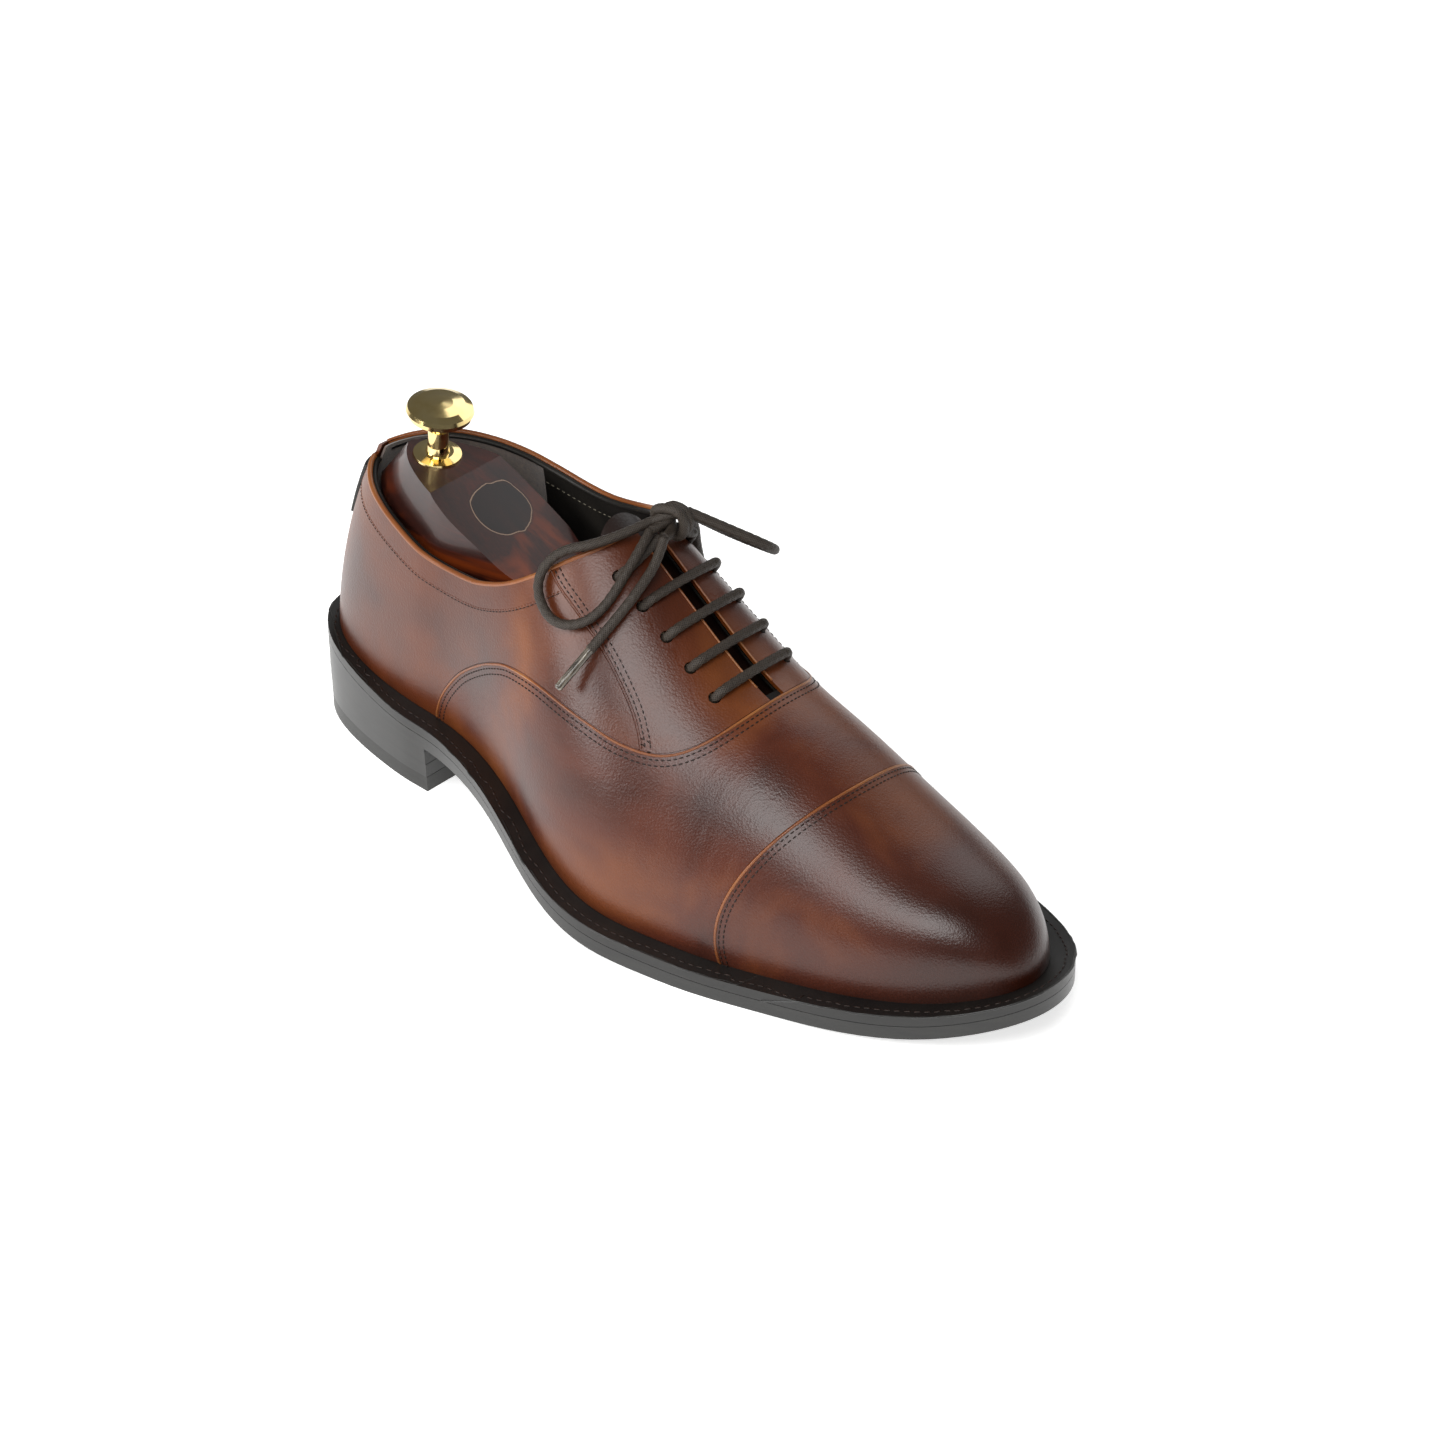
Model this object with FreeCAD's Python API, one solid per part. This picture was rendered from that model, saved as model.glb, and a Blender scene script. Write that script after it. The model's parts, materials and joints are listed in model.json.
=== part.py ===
import FreeCAD, Part
import math
import os

# Right leather oxford shoe, toe cap, laced and tied, on its plain heel, with a
# two-piece wooden shoe tree inside. Millimetres. +X runs to the toe, +Y to the
# inner (medial) side of the foot, +Z up. The origin is on the ground under the heel.

V = FreeCAD.Vector

# ---------------------------------------------------------------- driving sizes
shoe_tip_x = 257.0           # front of the upper, measured along X
heel_back_radius = 62.3      # from the heel axis back to the upper
heel_axis_x = 28.0           # upright axis that the heel sections fan around
upper_leather = 1.3          # calf of the upper
stiffener = 0.8              # toe puff, interlining, heel counter
lining = 0.8                 # lining leather
layer_gap = 0.18             # air left between glued layers
seam_gap = 0.12              # air left along a stitched seam
welt_reach = 8.0             # how far the welt stands out past the upper
outsole_thick = 4.5
welt_thick = 3.6
insole_thick = 2.5
sock_thick = 1.0
heel_breast_x = 31.5         # front face of the heel
top_piece_thick = 5.5        # rubber top piece
lift_thick = 5.0             # one leather heel lift
facing_gap = 6.4             # between the two facings, at rest
eyelet_span = 33.6           # lateral hole to medial hole
eyelet_rows = 5
eyelet_first_x = 142.0       # lowest pair of holes
eyelet_pitch = 10.0          # along X
eyelet_radius = 2.0
lace_diameter = 3.2
aglet_length = 16.0
aglet_diameter = 3.0
tree_gap = 0.6               # between the tree's forepart and what it fills
knob_radius = 11.0
tree_slide = 10.0            # how far the heel block slides in on its spring
moving_gap = 0.3             # air between pieces that move against each other

# Values down the length of the upper. The stations are X positions, from the
# heel axis to the tip, and every list below has one value for each.
stations = [28, 55, 84, 112, 130, 148, 166, 186, 214, 234, 257]
width_lateral = [26.9, 32.2, 43.8, 54.0, 55.5, 52.7, 49.0, 43.4, 36.0, 30.5, 25.0]
width_medial = [25.0, 24.5, 21.0, 23.0, 28.5, 33.5, 37.0, 38.5, 36.0, 33.5, 29.5]
ridge_height = [136, 133, 121, 101.5, 88.0, 76.2, 69.5, 60.3, 47.5, 42.0, 40.0]
ridge_side = [0, 0, -1, -2, -2.5, -3, -3, -3, -2.5, -2, -1]
wall_bulge = [8, 8, 9, 9.5, 9.5, 7.5, 6, 5.4, 4, 3, 0]
bulge_height = [0.30, 0.30, 0.30, 0.32, 0.35, 0.40, 0.45, 0.50, 0.55, 0.55, 0.55]
crown_lateral = [25, 26, 31, 37, 38, 37, 33, 28.5, 26, 25, 23]
crown_medial = [34, 33, 33, 37, 38, 37, 33, 28.5, 26, 25, 23]

# Ground line of the forepart and arch, and the top of the welt above it.
sole_x = [-40, 35, 80, 120, 150, 180, 215, 240, 266]
welt_top = [33.5, 24.9, 22.7, 12.4, 8.9, 8.0, 9.9, 12.6, 20.2]
sole_edge = [8.0, 7.6, 6.4, 7.8, 8.3, 7.95, 8.3, 8.3, 8.3]


# ---------------------------------------------------------------- shape of the upper
def spline(xs, ys, flat_start=False):
    """Cubic spline through the points, straight at its ends or level at the first."""
    count = len(xs)
    span = [xs[i + 1] - xs[i] for i in range(count - 1)]
    rise = [(ys[i + 1] - ys[i]) / span[i] for i in range(count - 1)]
    upper = [0.0] * count
    middle = [1.0] * count
    right = [0.0] * count
    if flat_start:
        middle[0] = 2 * span[0]
        upper[0] = span[0]
        right[0] = 6 * rise[0]
    for i in range(1, count):
        if i < count - 1:
            share = span[i - 1] / middle[i - 1]
            middle[i] = 2 * (span[i - 1] + span[i]) - share * upper[i - 1]
            upper[i] = span[i]
            right[i] = 6 * (rise[i] - rise[i - 1]) - share * right[i - 1]
    bend = [0.0] * count
    for i in range(count - 2, -1, -1):
        bend[i] = (right[i] - upper[i] * bend[i + 1]) / middle[i]

    def value(x):
        i = 0
        while i < count - 2 and x > xs[i + 1]:
            i += 1
        a = (xs[i + 1] - x) / span[i]
        b = (x - xs[i]) / span[i]
        curve = (a ** 3 - a) * bend[i] + (b ** 3 - b) * bend[i + 1]
        return a * ys[i] + b * ys[i + 1] + curve * span[i] ** 2 / 6
    return value


lateral_w = spline(stations, width_lateral, True)
medial_w = spline(stations, width_medial, True)
ridge_z = spline(stations, ridge_height, True)
ridge_y = spline(stations, ridge_side, True)
bulge = spline(stations, wall_bulge, True)
bulge_z = spline(stations, bulge_height, True)
lateral_crown = spline(stations, crown_lateral, True)
medial_crown = spline(stations, crown_medial, True)
welt_z = spline(sole_x, welt_top)
edge_thick = spline(sole_x, sole_edge)
toe_round_length = 60.0      # the toe narrows to its tip over this length
toe_drop_length = 32.0       # and comes down to the welt over this one
toe_power = 2.5
hem_drop = 1.0               # the wall is drawn this far below the welt, then cut level
heel_crown_back = 42.5
heel_bulge_back = 5.3
heel_foot_power = 2.5        # roundness of the heel seen from above, low, mid, high
heel_mid_power = {-1: 1.55, 1: 1.9}
heel_top_power = {-1: 1.25, 1: 2.0}


def toe_share(x, length):
    """1 behind the toe, falling to 0 at the tip like the end of an egg."""
    t = (shoe_tip_x - x) / length
    if t >= 1:
        return 1.0
    return math.sqrt(1 - (1 - max(t, 0.0)) ** toe_power)


def heel_reach(angle, back, flank, power):
    c = abs(math.cos(angle))
    s = abs(math.sin(angle))
    return ((c / back) ** power + (s / flank) ** power) ** (-1 / power)


def half_section(u, side):
    """Four Bezier points of one side's wall, from the welt to the ridge.
    u is the fan angle in degrees up to 90, then 90 plus the distance ahead of
    the heel axis. side is -1 on the lateral side and 1 on the medial side."""
    if u < 90:
        angle = math.radians(u)
        x = heel_axis_x
        flank = lateral_w(x) if side < 0 else medial_w(x)
        crown = lateral_crown(x) if side < 0 else medial_crown(x)
        foot_r = heel_reach(angle, heel_back_radius, flank, heel_foot_power)
        mid_r = heel_reach(angle, heel_back_radius + heel_bulge_back, flank + bulge(x), heel_mid_power[side])
        top_r = heel_reach(angle, heel_crown_back, crown, heel_top_power[side])
        foot_z = welt_z(x - foot_r * math.cos(angle)) - hem_drop
        top_z = ridge_z(x)
        mid_z = foot_z + bulge_z(x) * (top_z - foot_z)

        def at(radius, z):
            return (x - radius * math.cos(angle), side * radius * math.sin(angle), z)
        return [at(foot_r, foot_z), at(mid_r, mid_z), at(top_r, top_z), at(0, top_z)]
    x = min(heel_axis_x + u - 90, shoe_tip_x)
    narrow = toe_share(x, toe_round_length)
    low = toe_share(x, toe_drop_length)
    foot_z = welt_z(x) - hem_drop
    rise = (ridge_z(x) - foot_z) * low
    foot_y = side * (lateral_w(x) if side < 0 else medial_w(x)) * narrow
    ridge = ridge_y(x) * narrow
    crown = side * (lateral_crown(x) if side < 0 else medial_crown(x)) * narrow
    out = side * bulge(x) * narrow
    return [(x, foot_y, foot_z), (x, foot_y + out, foot_z + bulge_z(x) * rise),
            (x, ridge + crown, foot_z + rise), (x, ridge, foot_z + rise)]


def bezier(points, v):
    w = 1 - v
    weights = (w ** 3, 3 * w * w * v, 3 * w * v * v, v ** 3)
    return V(*[sum(weights[k] * points[k][axis] for k in range(4)) for axis in range(3)])


def bezier_slope(points, v):
    w = 1 - v
    weights = (w * w, 2 * w * v, v * v)
    return V(*[sum(weights[k] * (points[k + 1][axis] - points[k][axis]) for k in range(3))
               for axis in range(3)])


def wall_frame(u, side, v):
    """Point on the outside of the upper and the direction straight out of it."""
    to_tip = shoe_tip_x - (heel_axis_x + u - 90)
    point = bezier(half_section(u, side), v)
    step = min(0.4, 0.3 * to_tip)
    along = bezier(half_section(u + step, side), v) - bezier(half_section(u - step, side), v)
    out = along.cross(bezier_slope(half_section(u, side), v)) * -side
    return point, out.normalize()


def wall_point(u, side, v, depth):
    point, out = wall_frame(u, side, v)
    return point - out * depth


# ---------------------------------------------------------------- layers of the upper
def skin(net):
    """Smooth surface drawn by a net of control points."""
    def knots(count):
        return [float(k) for k in range(count - 2)], [4] + [1] * (count - 4) + [4]
    u_knots, u_mults = knots(len(net))
    v_knots, v_mults = knots(len(net[0]))
    surface = Part.BSplineSurface()
    surface.buildFromPolesMultsKnots(net, u_mults, v_mults, u_knots, v_knots, False, False, 3, 3)
    return surface


def strip(first, second):
    """Straight-ruled face between two matching border curves."""
    surface = Part.BSplineSurface()
    surface.buildFromPolesMultsKnots([first.getPoles(), second.getPoles()], [2, 2],
                                     first.getMultiplicities(), [0.0, 1.0], first.getKnots(),
                                     False, False, 1, first.Degree)
    return surface.toShape()


def joined(faces):
    body = Part.makeCompound(faces)
    body.sewShape()
    solid = Part.makeSolid(body.Shells[0])
    if solid.Volume < 0:
        solid.reverse()
    return solid


def layer(rows, outer, inner):
    """Solid between two depths below the outside of the upper."""
    a = skin([[wall_point(*place, outer) for place in row] for row in rows])
    b = skin([[wall_point(*place, inner) for place in row] for row in rows])
    u0, u1, v0, v1 = a.bounds()
    faces = [a.toShape(), b.toShape()]
    borders = [(a.vIso(v0), b.vIso(v0)), (a.vIso(v1), b.vIso(v1))]
    borders += [(a.uIso(u0), b.uIso(u0)), (a.uIso(u1), b.uIso(u1))]
    for first, second in borders:
        faces.append(strip(first, second))
    return joined(faces)


tip_window = 0.02            # the skins stop this far short of the tip, below the cut hem
toe_columns = [shoe_tip_x - back for back in (27, 22, 17, 13, 9, 6, 3.5, 1.7, 0.5, tip_window)]
column_pitch = 6.5           # every layer is sampled at the same places, so that none
wall_steps = 24              # runs into the next
fan_steps = 12


def steps(first, last, count):
    return [first + (last - first) * k / count for k in range(count + 1)]


fan_columns = steps(0, 90, fan_steps)
long_columns = [heel_axis_x + column_pitch * (k + 1) for k in range(30)]


def columns_to(last_x):
    return fan_columns + [90 + x - heel_axis_x for x in long_columns if x < last_x + column_pitch]


def up_the_wall(count):
    return [k / wall_steps for k in range(count + 1)]


def heel_rows(last_x, count):
    """Round the heel, from the lateral side to the medial side."""
    columns = columns_to(last_x)
    path = [(u, -1) for u in columns[:0:-1]] + [(u, 1) for u in columns]
    return [[(u, side, v) for v in up_the_wall(count)] for u, side in path]


def over_rows(first_x):
    """Over the foot from side to side, forward to the tip of the toe."""
    columns = [x for x in [heel_axis_x] + long_columns if x > first_x - column_pitch] + toe_columns
    rows = []
    for x in columns:
        u = 90 + x - heel_axis_x
        up = [(u, -1, v) for v in up_the_wall(wall_steps)]
        down = [(u, 1, v) for v in up_the_wall(wall_steps)[-2::-1]]
        rows.append(up + down)
    return rows


# ---------------------------------------------------------------- seams and cutting solids
wide = 120.0                 # reach of a cutting solid past the shoe
high = 260.0


def spline_edge(points):
    curve = Part.BSplineCurve()
    curve.interpolate(points)
    return curve.toShape()


def side_cutter(seam, corners, y_low=-wide, y_high=wide):
    """Region bounded by a seam in the XZ plane and straight lines through the
    corners, drawn out across the shoe."""
    points = [V(x, y_low, z) for x, z in seam]
    rest = [points[-1]] + [V(x, y_low, z) for x, z in corners] + [points[0]]
    face = Part.Face(Part.Wire([spline_edge(points)] + Part.makePolygon(rest).Edges))
    return face.extrude(V(0, y_high - y_low, 0))


def slab(low, high_curve, first=-44.0, last=272.0):
    """Layer of the bottom between two height curves, drawn out across the shoe."""
    xs = steps(first, last, 28)
    bottom = spline_edge([V(x, -wide, low(x)) for x in xs])
    top = spline_edge([V(x, -wide, high_curve(x)) for x in xs])
    front = Part.makeLine(V(last, -wide, low(last)), V(last, -wide, high_curve(last)))
    back = Part.makeLine(V(first, -wide, low(first)), V(first, -wide, high_curve(first)))
    return Part.Face(Part.Wire([bottom, front, top, back])).extrude(V(0, 2 * wide, 0))


def rim(reach, z_low=-5.0, z_high=60.0):
    """Upright solid whose outline follows the foot of the upper at a distance."""
    angles = steps(0, 90, 9)
    lengths = [90 + x - heel_axis_x for x in steps(heel_axis_x + 9, 228, 20)]
    toe = [90 + x - heel_axis_x for x in toe_columns[:-1]]
    columns = angles + lengths + toe

    def outline_point(u, side):
        step = min(0.4, 0.3 * (shoe_tip_x - (heel_axis_x + u - 90)))
        here = bezier(half_section(u, side), 0)
        along = bezier(half_section(u + step, side), 0) - bezier(half_section(u - step, side), 0)
        out = V(-along.y, along.x, 0).normalize() * side
        share = 1.0
        if u < 90:
            share = 1 - 0.6 * math.cos(math.radians(u)) ** 2
        distance = reach * share if reach > 0 else reach
        return V(here.x, here.y, z_low) + out * distance
    tip = bezier(half_section(90 + shoe_tip_x - heel_axis_x, 1), 0)
    points = [outline_point(u, -1) for u in columns] + [V(tip.x + reach, tip.y, z_low)]
    points += [outline_point(u, 1) for u in columns[:0:-1]]
    curve = Part.BSplineCurve()
    curve.interpolate(Points=points, PeriodicFlag=True)
    return Part.Face(Part.Wire(curve.toShape())).extrude(V(0, 0, z_high - z_low))


def raised(curve, amount):
    return lambda x: curve(x) + amount


def parallel(points, distance):
    """The same seam, moved down by the distance along its own normal."""
    moved = []
    for k, (x, z) in enumerate(points):
        x0, z0 = points[max(k - 1, 0)]
        x1, z1 = points[min(k + 1, len(points) - 1)]
        length = math.hypot(x1 - x0, z1 - z0)
        moved.append((x + distance * (z1 - z0) / length, z - distance * (x1 - x0) / length))
    return moved


# Seams seen from the side, as X and Z. The vamp seam starts at the welt beside
# the heel, runs forward over the arch and climbs to the throat.
vamp_seam = [(29.6, 5), (30, 24), (32, 31), (37, 40), (46, 51), (56, 59.5), (66, 66), (77, 70.5),
             (93, 72.3), (112, 70), (128, 66.5), (140, 65.5), (148, 68.5), (154, 75), (158, 84)]
facing_seam = [(66, 118), (78, 107), (87, 100.4), (97, 95.2), (110, 87.5), (121, 79), (129, 71.5),
               (135, 63), (138, 52)]
topline_front = [(88, 106.5), (97, 112), (106, 119)]
topline_lateral = [(-60, 93), (-36, 93), (-26, 92.6), (-12, 89.6), (0, 88), (12, 86.5), (25, 84.6),
                   (37, 84), (50, 85.5), (60, 89), (69, 93.5), (78, 99.3)] + topline_front
topline_medial = [(-60, 93), (-36, 93), (-26, 93.4), (-15, 97), (-4, 99), (8, 98.6), (20, 97.6),
                  (35, 96.4), (50, 95.4), (62, 96.6), (76, 101)] + topline_front
collar_width = 8.0
cap_seam_x = 188.5           # toe cap seam on the ridge
cap_seam_back = 170.0        # and where it meets the welt
cap_half = 50.0              # half the width of that arc
throat_x = 150.0             # the linings of quarter and vamp meet here
grip_front_x = 30.0          # front edge of the suede heel grip
counter_front_x = 57.0
puff_back_x = 194.0
strap_half = 5.5             # half width of the strap over the back seam
strap_foot_z = 69.0

over_vamp_seam = [(158, high), (-70, high), (-70, 5)]
above_seam = side_cutter(vamp_seam, over_vamp_seam)
above_seam_clear = side_cutter([(x - seam_gap, z + seam_gap) for x, z in vamp_seam],
                               [(158 - seam_gap, high), (-70, high), (-70, 5 + seam_gap)])
behind_facing = side_cutter(facing_seam, [(138, -20), (-70, -20), (-70, high), (60, high)])
behind_facing_clear = side_cutter([(x + seam_gap, z + seam_gap) for x, z in facing_seam],
                                  [(138 + seam_gap, -20), (-70, -20), (-70, high), (60 + seam_gap, high)])
seam_air = 0.15
above_welt = slab(raised(welt_z, seam_air), lambda x: high)


def below_line(line, side):
    low, top = (-wide, 0) if side < 0 else (0, wide)
    front = 300
    return side_cutter(line, [(front, line[-1][1]), (front, -20), (line[0][0], -20)], low, top)


def block(x0, x1, y0, y1, z0, z1):
    return Part.makeBox(x1 - x0, y1 - y0, z1 - z0, V(x0, y0, z0))


def cap_region(x_shift):
    """Everything ahead of the toe cap seam, which is an arc seen from above."""
    depth = cap_seam_x - cap_seam_back
    radius = (cap_half ** 2 + depth ** 2) / (2 * depth)
    disc = Part.makeCylinder(radius, 200, V(cap_seam_x + x_shift - radius, 0, -20))
    return block(cap_seam_back - 40, 300, -wide, wide, -20, 180).cut(disc)


# ---------------------------------------------------------------- lacing places
def place_at(x, y):
    """The place on the upper part of the wall that lies at this X and Y."""
    side = -1 if y < 0 else 1
    u = 90 + x - heel_axis_x
    low, top = 0.45, 1.0
    for _ in range(40):
        v = (low + top) / 2
        if side * bezier(half_section(u, side), v).y > abs(y):
            low = v
        else:
            top = v
    return u, side, v


def over_leather(x, y, height):
    """Point at a height straight out from the leather."""
    return wall_point(*place_at(x, y), -height)


class LaceRow:
    """One pair of holes: its middle, and the direction straight out over it."""
    def __init__(self, row):
        x = eyelet_first_x - row * eyelet_pitch
        self.places = {side: place_at(x, side * eyelet_span / 2) for side in (-1, 1)}
        self.holes = {side: wall_point(*self.places[side], 0) for side in (-1, 1)}
        self.middle = (self.holes[-1] + self.holes[1]) * 0.5
        top_point, slope = wall_frame(self.places[-1][0], -1, 1.0)
        self.up = V(slope.x, 0, slope.z).normalize()
        self.crest = (top_point - self.middle).dot(self.up)

    def at(self, y, height):
        return V(self.middle.x, 0, self.middle.z) + self.up * height + V(0, y, 0)


rows_of_holes = [LaceRow(row) for row in range(eyelet_rows)]
hole_depth = 9.0
hole_cutters = {}
for side in (-1, 1):
    drills = []
    for row in rows_of_holes:
        start = row.at(side * eyelet_span / 2, -hole_depth)
        drills.append(Part.makeCylinder(eyelet_radius, 2 * hole_depth, start, row.up))
    hole_cutters[side] = Part.makeCompound(drills)


# ---------------------------------------------------------------- the pieces
parts = {}
side_name = {-1: "lateral", 1: "medial"}
leather_in = upper_leather
stiff_out = leather_in + layer_gap
stiff_in = stiff_out + stiffener
lining_out = stiff_in + layer_gap
lining_in = lining_out + lining
gap_half = facing_gap / 2


def kept(solid):
    """The largest solid of a cut, without stray slivers."""
    return max(solid.Solids, key=lambda s: s.Volume)


side_count = 17              # how far up the wall the side and heel skins are drawn
heel_count = 16
backer_drop = 1.5            # backers end this far below the topline
lining_drop = 0.6


def half_of(side):
    return block(-60, 300, 0 if side > 0 else -wide, wide if side > 0 else 0, -20, 200)


def upper_sides():
    """Quarters, facings and their interlining and lining, one set to a side."""
    over = layer(over_rows(60), 0, leather_in).common(above_welt).common(above_seam_clear)
    over = over.cut(behind_facing_clear)
    stiff = layer(over_rows(50), stiff_out, stiff_in).common(above_welt)
    soft = layer(over_rows(28), lining_out, lining_in).common(above_welt)
    around = layer(heel_rows(140, side_count), 0, leather_in).common(above_welt)
    around = around.common(above_seam_clear).common(behind_facing)
    for side in (-1, 1):
        name = side_name[side]
        line = topline_lateral if side < 0 else topline_medial
        quarter = around.common(half_of(side)).common(below_line(parallel(line, collar_width), side))
        parts["quarter_" + name] = kept(quarter.cut(back_seam))
        facing = over.common(half_of(side)).common(below_line(line, side))
        facing = facing.cut(block(60, 170, -gap_half, gap_half, 40, 150))
        parts["facing_" + name] = kept(facing.cut(hole_cutters[side]))
        sheet = stiff.common(block(counter_front_x + 1, throat_x, -wide, wide, 0, 200))
        sheet = sheet.common(half_of(side)).common(below_line(parallel(line, backer_drop), side))
        sheet = sheet.cut(block(50, 170, -gap_half - 1, gap_half + 1, 40, 150))
        parts["quarter_backer_" + name] = kept(sheet.cut(hole_cutters[side]))
        sheet = soft.common(block(grip_front_x + seam_gap, throat_x, -wide, wide, 0, 200))
        sheet = sheet.common(half_of(side)).common(below_line(parallel(line, lining_drop), side))
        sheet = sheet.cut(block(20, 170, -gap_half - 0.5, gap_half + 0.5, 40, 150))
        parts["quarter_lining_" + name] = kept(sheet.cut(hole_cutters[side]))


back_seam = block(-60, 0, -seam_gap / 2, seam_gap / 2, 0, 150)


def heel_pieces():
    """Collar band, heel grip, heel counter and the strap over the back seam."""
    below_tops = below_line(topline_lateral, -1).fuse(below_line(topline_medial, 1))
    inner_tops = below_line(parallel(topline_lateral, 0.6), -1)
    inner_tops = inner_tops.fuse(below_line(parallel(topline_medial, 0.6), 1))
    outer = layer(heel_rows(100, heel_count + 2), 0, leather_in).common(below_tops)
    for side in (-1, 1):
        line = topline_lateral if side < 0 else topline_medial
        low = below_line([(x, z + seam_gap) for x, z in parallel(line, collar_width)], side)
        band = outer.common(half_of(side)).cut(low).common(behind_facing)
        parts["collar_band_" + side_name[side]] = kept(band.cut(back_seam))
    grip = layer(heel_rows(52, heel_count), lining_out, lining_in).common(above_welt)
    grip = grip.common(block(-60, grip_front_x, -wide, wide, 0, 200)).common(inner_tops)
    parts["heel_grip"] = kept(grip)
    counter = layer(heel_rows(76, heel_count), stiff_out, stiff_in).common(above_welt)
    counter_top = side_cutter([(-60, 78), (-34, 78), (0, 75), (25, 69), (42, 57), (50, 44), (52, 30)],
                              [(52, 0), (-60, 0)])
    parts["heel_counter"] = kept(counter.common(counter_top))
    strap = layer(heel_rows(38, heel_count), -layer_gap - 1.0, -layer_gap)
    strap = strap.common(block(-60, 0, -strap_half, strap_half, strap_foot_z, 89.6))
    parts["back_strap"] = kept(strap)


def forepart_pieces():
    """Toe cap, vamp, and what lies between them and the foot."""
    leather = layer(over_rows(heel_axis_x), 0, leather_in).common(above_welt)
    ahead = cap_region(0)
    parts["toe_cap"] = kept(leather.common(ahead))
    parts["vamp"] = kept(leather.cut(cap_region(-seam_gap)).cut(above_seam))
    stiff = layer(over_rows(140), stiff_out, stiff_in).common(above_welt)
    parts["toe_puff"] = kept(stiff.common(block(puff_back_x, 300, -wide, wide, 0, 200)))
    parts["vamp_interlining"] = kept(stiff.common(
        block(throat_x + seam_gap, puff_back_x - seam_gap, -wide, wide, 0, 200)))
    soft = layer(over_rows(140), lining_out, lining_in).common(above_welt)
    parts["vamp_lining"] = kept(soft.common(block(throat_x + seam_gap, 300, -wide, wide, 0, 200)))


tongue_depth = 6.7
tongue_thick = 1.4
tongue_top_x = 86.0
tongue_half = 19.0


def tongue_piece():
    """Leather tongue under the facings, standing up a little above the topline."""
    sheet = layer(over_rows(70), tongue_depth, tongue_depth + tongue_thick)
    front = throat_x + 6
    curve = [V(front, -15, 30), V(120, -tongue_half, 30), V(98, -tongue_half, 30),
             V(tongue_top_x + 3, -11, 30), V(tongue_top_x, 0, 30), V(tongue_top_x + 3, 11, 30),
             V(98, tongue_half, 30), V(120, tongue_half, 30), V(front, 15, 30)]
    outline = Part.Wire([spline_edge(curve), Part.makeLine(curve[-1], curve[0])])
    parts["tongue"] = kept(sheet.common(Part.Face(outline).extrude(V(0, 0, 150))))


nail_places = [(-22, 0), (-8, -19), (-8, 17), (20, -20), (20, 15)]
nail_radius = 1.0
nail_length = 15.8
nail_recess = 1.2            # how far the heads lie above the ground


def bottom_pieces():
    """Outsole, welt, filler, shank, insole, sock liner and the built heel."""
    share = outsole_thick / (outsole_thick + welt_thick)

    def low(x):
        return welt_z(x) - edge_thick(x)

    def parting(x):
        return low(x) + edge_thick(x) * share

    outline = rim(welt_reach)
    parts["outsole"] = kept(slab(low, parting).common(outline))
    ring = outline.cut(rim(-9.0, -10, 70))
    parts["welt"] = kept(slab(raised(parting, layer_gap), welt_z).common(ring))
    inside = rim(-9.0 - layer_gap)
    filler = slab(raised(parting, layer_gap), raised(welt_z, -layer_gap)).common(inside)
    parts["cork_filler"] = kept(filler.common(block(100, 300, -wide, wide, -10, 70)))
    waist = slab(raised(parting, layer_gap), raised(welt_z, -1.8)).common(inside)
    parts["waist_filler"] = kept(waist.common(block(-60, 100 - layer_gap, -wide, wide, -10, 70)))
    shank = slab(raised(welt_z, -1.6), raised(welt_z, -0.2))
    parts["shank"] = kept(shank.common(block(2, 98, -11, 3, -10, 70)))
    insole_top = layer_gap + insole_thick
    board = slab(raised(welt_z, layer_gap), raised(welt_z, insole_top)).common(rim(-4.6))
    parts["insole_board"] = kept(board)
    sock_low = insole_top + layer_gap
    sock = slab(raised(welt_z, sock_low), raised(welt_z, sock_low + sock_thick))
    parts["sock_liner"] = kept(sock.common(rim(-5.2)))
    heel = block(-60, heel_breast_x, -wide, wide, -10, 60)
    holes = Part.makeCompound([Part.makeCylinder(nail_radius + 0.05, 30, V(x, y, -2)) for x, y in nail_places])
    under = slab(lambda x: -9.0, raised(low, -layer_gap))
    bases = [0.0]
    for number in range(3):
        bases.append(top_piece_thick + number * lift_thick)
    names = ["heel_top_piece", "heel_lift_1", "heel_lift_2", "heel_lift_3"]
    for number, name in enumerate(names):
        base = bases[number] + (layer_gap if number else 0)
        ceiling = bases[number + 1] if number < 3 else 60
        inset = welt_reach - 0.25 - (0.9 if number == 0 else 0.3 * (3 - number))
        lift = rim(inset, base, ceiling).common(heel)
        if number == 3:
            lift = lift.common(under)
        parts[name] = kept(lift.cut(holes))
    nails = [Part.makeCylinder(nail_radius, nail_length, V(x, y, nail_recess)) for x, y in nail_places]
    parts["heel_nails"] = Part.makeCompound(nails)


# ---------------------------------------------------------------- laces
lace_radius = lace_diameter / 2
bar_rise = 3.6               # lace centre above the leather where it leaves a hole
leg_drop = 4.2               # and below it, inside
under_depth = 5.5            # runs inside, between the lining and the tongue
under_radius = 1.0           # where the lace is pressed flat
run_trim = 2.6               # the runs inside are drawn this much short at each end
knot_centre = V(106.5, 2.5, 116.5)
knot_radius = 6.6
knot_half_length = 8.5       # across the shoe


def bend_report(name, length, bends, tube, radius):
    share = tube.Volume / (math.pi * radius ** 2 * length)
    print("%s: length %.1f mm, tightest bend %.1f mm, volume over section x length %.3f"
          % (name, length, min(bends), share))


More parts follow.
